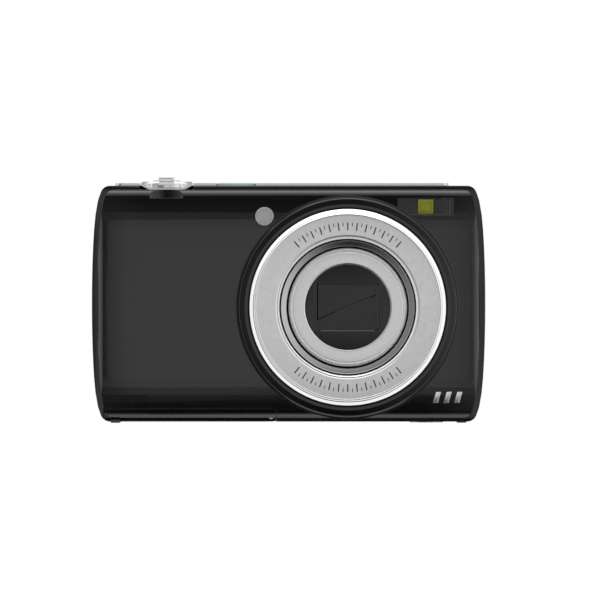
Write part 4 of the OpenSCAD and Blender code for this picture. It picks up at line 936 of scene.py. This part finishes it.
def add_back_keys():
    for node, finish in ROUND_KEYS.items():
        r = half_width(node) - KEY_FLANGE
        front, back = low_mm(node).y, high_mm(node).y
        flange = front + KEY_FLANGE_DEPTH
        turned(node + "_cap", [
            (0.0, back - 0.14), (r * 0.55, back - 0.1, 0.3), (r - 0.4, back, 0.15), (r, back - 0.25, 0.18),
            (r, flange, 0), (r + KEY_FLANGE, flange, 0), (r + KEY_FLANGE, front, 0), (0.0, front),
        ], mid(node), "y", finish, node, [node], segments=96, closed=False)
    r = half_width("ok_button") - OK_FLANGE
    front, back = low_mm("ok_button").y, high_mm("ok_button").y
    flange = front + KEY_FLANGE_DEPTH
    turned("ok_cap", [
        (0.0, back), (r - 0.9, back, 0.3), (r - 0.12, back - 0.12, 0.15), (r, back - 0.5, 0.1),
        (r, flange, 0), (r + OK_FLANGE, flange, 0), (r + OK_FLANGE, front, 0), (0.0, front),
    ], mid("ok_button"), "y", "key_black", "ok_button", ["ok_button"], segments=96, closed=False)
    add_key_marks()


def key_mark(name, shapes, node, sink):
    face = high_mm(node).y - sink
    plate(name, shapes, face - 0.1, face + KEY_MARK, "y", "control_silver", node, edge=0.01)


def ring_outlines(x, z, outer, inner, count):
    return [circle(x, z, outer, count), circle(x, z, inner, count)]


def add_key_marks():
    """Plain signs on the keys: a triangle, three lines, a bin, arrows and rings."""
    def at(node, points):
        centre = mid(node) / MM
        return [(centre.x + x, centre.z + z) for x, z in points]

    triangle = at("play_button", [(0.5, -0.75), (-0.85, 0.0), (0.5, 0.75)])
    key_mark("play_mark", [triangle], "play_button", 0.12)
    half, thick = 0.8, 0.12
    lines = []
    for z in (-0.55, 0.0, 0.55):
        corners = [(-half, z - thick), (half, z - thick), (half, z + thick), (-half, z + thick)]
        lines.append(at("menu_button", corners))
    key_mark("menu_mark", lines, "menu_button", DISH_SINK)
    basket = at("delete_button", [(-0.5, -0.85), (0.5, -0.85), (0.65, 0.35), (-0.65, 0.35)])
    lid = at("delete_button", [(-0.85, 0.5), (0.85, 0.5), (0.85, 0.7), (-0.85, 0.7)])
    key_mark("delete_mark", [basket, lid], "delete_button", DISH_SINK)
    record = mid("record_button") / MM
    key_mark("record_mark", ring_outlines(record.x, record.z, 0.75, 0.5, 40), "record_button", DISH_SINK)
    pad = mid("ok_button") / MM
    for node, angle in (("up_key", 90), ("down_key", 270), ("left_key", 180), ("right_key", 0)):
        tip = pad.xz + turn_by((ARROW_TIP, 0), angle)
        tail = pad.xz + turn_by((ARROW_TAIL, 0), angle)
        across = turn_by((0, ARROW_HALF), angle)
        key_mark(node + "_mark", [[tuple(tip), tuple(tail + across), tuple(tail - across)]], node, 0.02)
    key_mark("ok_mark", ring_outlines(pad.x, pad.z, 1.5, 1.3, 56), "ok_button", 0.0)


SCREEN_BORDER = 2.6
SCREEN_GAP = 0.3


def add_screen():
    """The screen's glass, and the dark mask round the picture behind it."""
    low, high = low_mm("lcd_window"), high_mm("lcd_window")
    sheet = rounded_box(low.x, low.z, high.x, high.z, 1.5)
    nodes = ["lcd_window"]
    plate("screen_glass_sheet", [sheet], low.y + 0.12, high.y, "y", "screen_glass", "root", nodes)
    gap, border = SCREEN_GAP, SCREEN_BORDER
    outer = rounded_box(low.x + gap, low.z + gap, high.x - gap, high.z - gap, 1.3)
    inner = rounded_box(low.x + border, low.z + border, high.x - border, high.z - border, 0.3, 3)
    plate("screen_mask", [outer, inner], low.y, low.y + 0.1, "y", "inner_black", "root", edge=0.01)


# Stage and light ------------------------------------------------------------------------------
# The floor is under the open battery door, so the camera floats above it like in a catalogue picture
FLOOR_Z = -46.0 * MM
FLOOR_RADIUS = 0.9
FLOOR_GLOW = 0.55
PAPER_DARK = (0.87, 0.87, 0.87)
PAPER_LIGHT = (0.9, 0.9, 0.9)


def add_floor():
    bm = bmesh.new()
    bmesh.ops.create_circle(bm, cap_ends=True, segments=96, radius=FLOOR_RADIUS)
    mesh = bpy.data.meshes.new("floor")
    bm.to_mesh(mesh)
    bm.free()
    floor = bpy.data.objects.new("floor", mesh)
    SCENE.collection.objects.link(floor)
    floor.location = (0, 0, FLOOR_Z)
    mat = bpy.data.materials.new("floor_paper")
    t = Tree(mat)
    bsdf = t.add("ShaderNodeBsdfPrincipled")
    paper = t.mix(t.noise(900.0), PAPER_DARK, PAPER_LIGHT)
    t.put(bsdf, Base_Color=paper, Roughness=0.9, Specular_IOR_Level=0.1)
    t.put(bsdf, Emission_Color=paper, Emission_Strength=FLOOR_GLOW)
    # The paper has one side only, so a view from below shows the camera's base
    underside = t.add("ShaderNodeNewGeometry").outputs["Backfacing"]
    t.finish(t.mix_shaders(underside, bsdf.outputs[0], t.add("ShaderNodeBsdfTransparent").outputs[0]))
    mesh.materials.append(mat)
    floor.visible_glossy = False


# Brightness of the studio by the angle from the lens's view, in degrees, towards each side of it
STUDIO = {
    "up": [
        (0, 1.4), (2, 1.32), (4, 1.05), (6, 0.75), (8, 0.35), (11, 0.1), (15, 0.1), (22, 0.16), (34, 0.2),
        (46, 1.4), (58, 2.0), (74, 2.5), (90, 2.7), (110, 1.5), (132, 0.35), (150, 0.5), (180, 0.8),
    ],
    "down": [
        (0, 1.4), (3, 1.3), (6, 1.0), (9, 0.5), (12, 0.08), (18, 0.03), (46, 0.03), (60, 0.3), (78, 1.3),
        (98, 2.2), (122, 0.8), (145, 0.4), (180, 0.8),
    ],
    "left": [
        (0, 1.4), (8, 1.3), (14, 0.5), (22, 0.35), (48, 0.4), (66, 0.9), (84, 2.0), (100, 1.7), (125, 0.6),
        (180, 0.8),
    ],
    "right": [
        (0, 1.4), (8, 1.25), (14, 0.8), (22, 0.9), (30, 1.15), (60, 1.3), (84, 2.0), (104, 1.7), (125, 0.6),
        (180, 0.8),
    ],
}
NOT_ZERO = 1e-6


def add_world():
    """The light that pieces get and mirror follows STUDIO. The background itself is plain white."""
    world = bpy.data.worlds.new("studio")
    SCENE.world = world
    t = Tree(world)
    split = t.add("ShaderNodeSeparateXYZ")
    t.put(split, Vector=t.add("ShaderNodeTexCoord").outputs["Generated"])
    x, y, z = split.outputs
    angle = t.math("ARCCOSINE", t.math("MULTIPLY", y, -1.0))
    place = t.math("DIVIDE", angle, math.pi)
    across = t.math("ADD", t.math("MULTIPLY", x, x), t.math("MULTIPLY", z, z))
    across = t.math("ADD", across, NOT_ZERO)
    brightest = max(level for stops in STUDIO.values() for _, level in stops)
    total = 0.0
    for name, axis, sign in (("up", z, 1), ("down", z, -1), ("left", x, -1), ("right", x, 1)):
        one_side = t.math("MAXIMUM", t.math("MULTIPLY", axis, sign), 0.0)
        weight = t.math("DIVIDE", t.math("MULTIPLY", one_side, one_side), across)
        stops = [(degrees / 180, (level / brightest,) * 3) for degrees, level in STUDIO[name]]
        total = t.math("ADD", total, t.math("MULTIPLY", t.ramp(place, stops), weight))
    studio = t.add("ShaderNodeBackground")
    t.put(studio, Strength=t.math("MULTIPLY", total, brightest))
    white = t.add("ShaderNodeBackground")
    t.put(white, Color=(1, 1, 1, 1), Strength=1.0)
    is_camera = t.add("ShaderNodeLightPath").outputs["Is Camera Ray"]
    out = t.add("ShaderNodeOutputWorld")
    t.put(out, Surface=t.mix_shaders(is_camera, studio.outputs[0], white.outputs[0]))


SOFTBOX_PLACE = Vector((0.0, 0.1, 0.8))
SOFTBOX_AIM = Vector((0.0, 0.0, 0.03))
SOFTBOX_WIDTH = 0.6
SOFTBOX_LENGTH = 0.4
SOFTBOX_RADIANCE = 1.5


def add_softbox():
    data = bpy.data.lights.new("top_softbox", "AREA")
    data.shape = "RECTANGLE"
    data.size = SOFTBOX_WIDTH
    data.size_y = SOFTBOX_LENGTH
    data.energy = SOFTBOX_RADIANCE * SOFTBOX_WIDTH * SOFTBOX_LENGTH * math.pi
    light = bpy.data.objects.new("top_softbox", data)
    SCENE.collection.objects.link(light)
    light.location = SOFTBOX_PLACE
    light.rotation_euler = (SOFTBOX_AIM - SOFTBOX_PLACE).to_track_quat("-Z", "Y").to_euler()
    light.visible_camera = False


add_camera()
SCENE.view_settings.view_transform = "Standard"
materials = make_materials()
dress_cad(materials)
bow_sides("front_cover")
bow_sides("battery_door")
add_lens()
add_barrier_disc()
add_front_details()
add_top_controls()
add_back_keys()
add_screen()
add_floor()
add_world()
add_softbox()
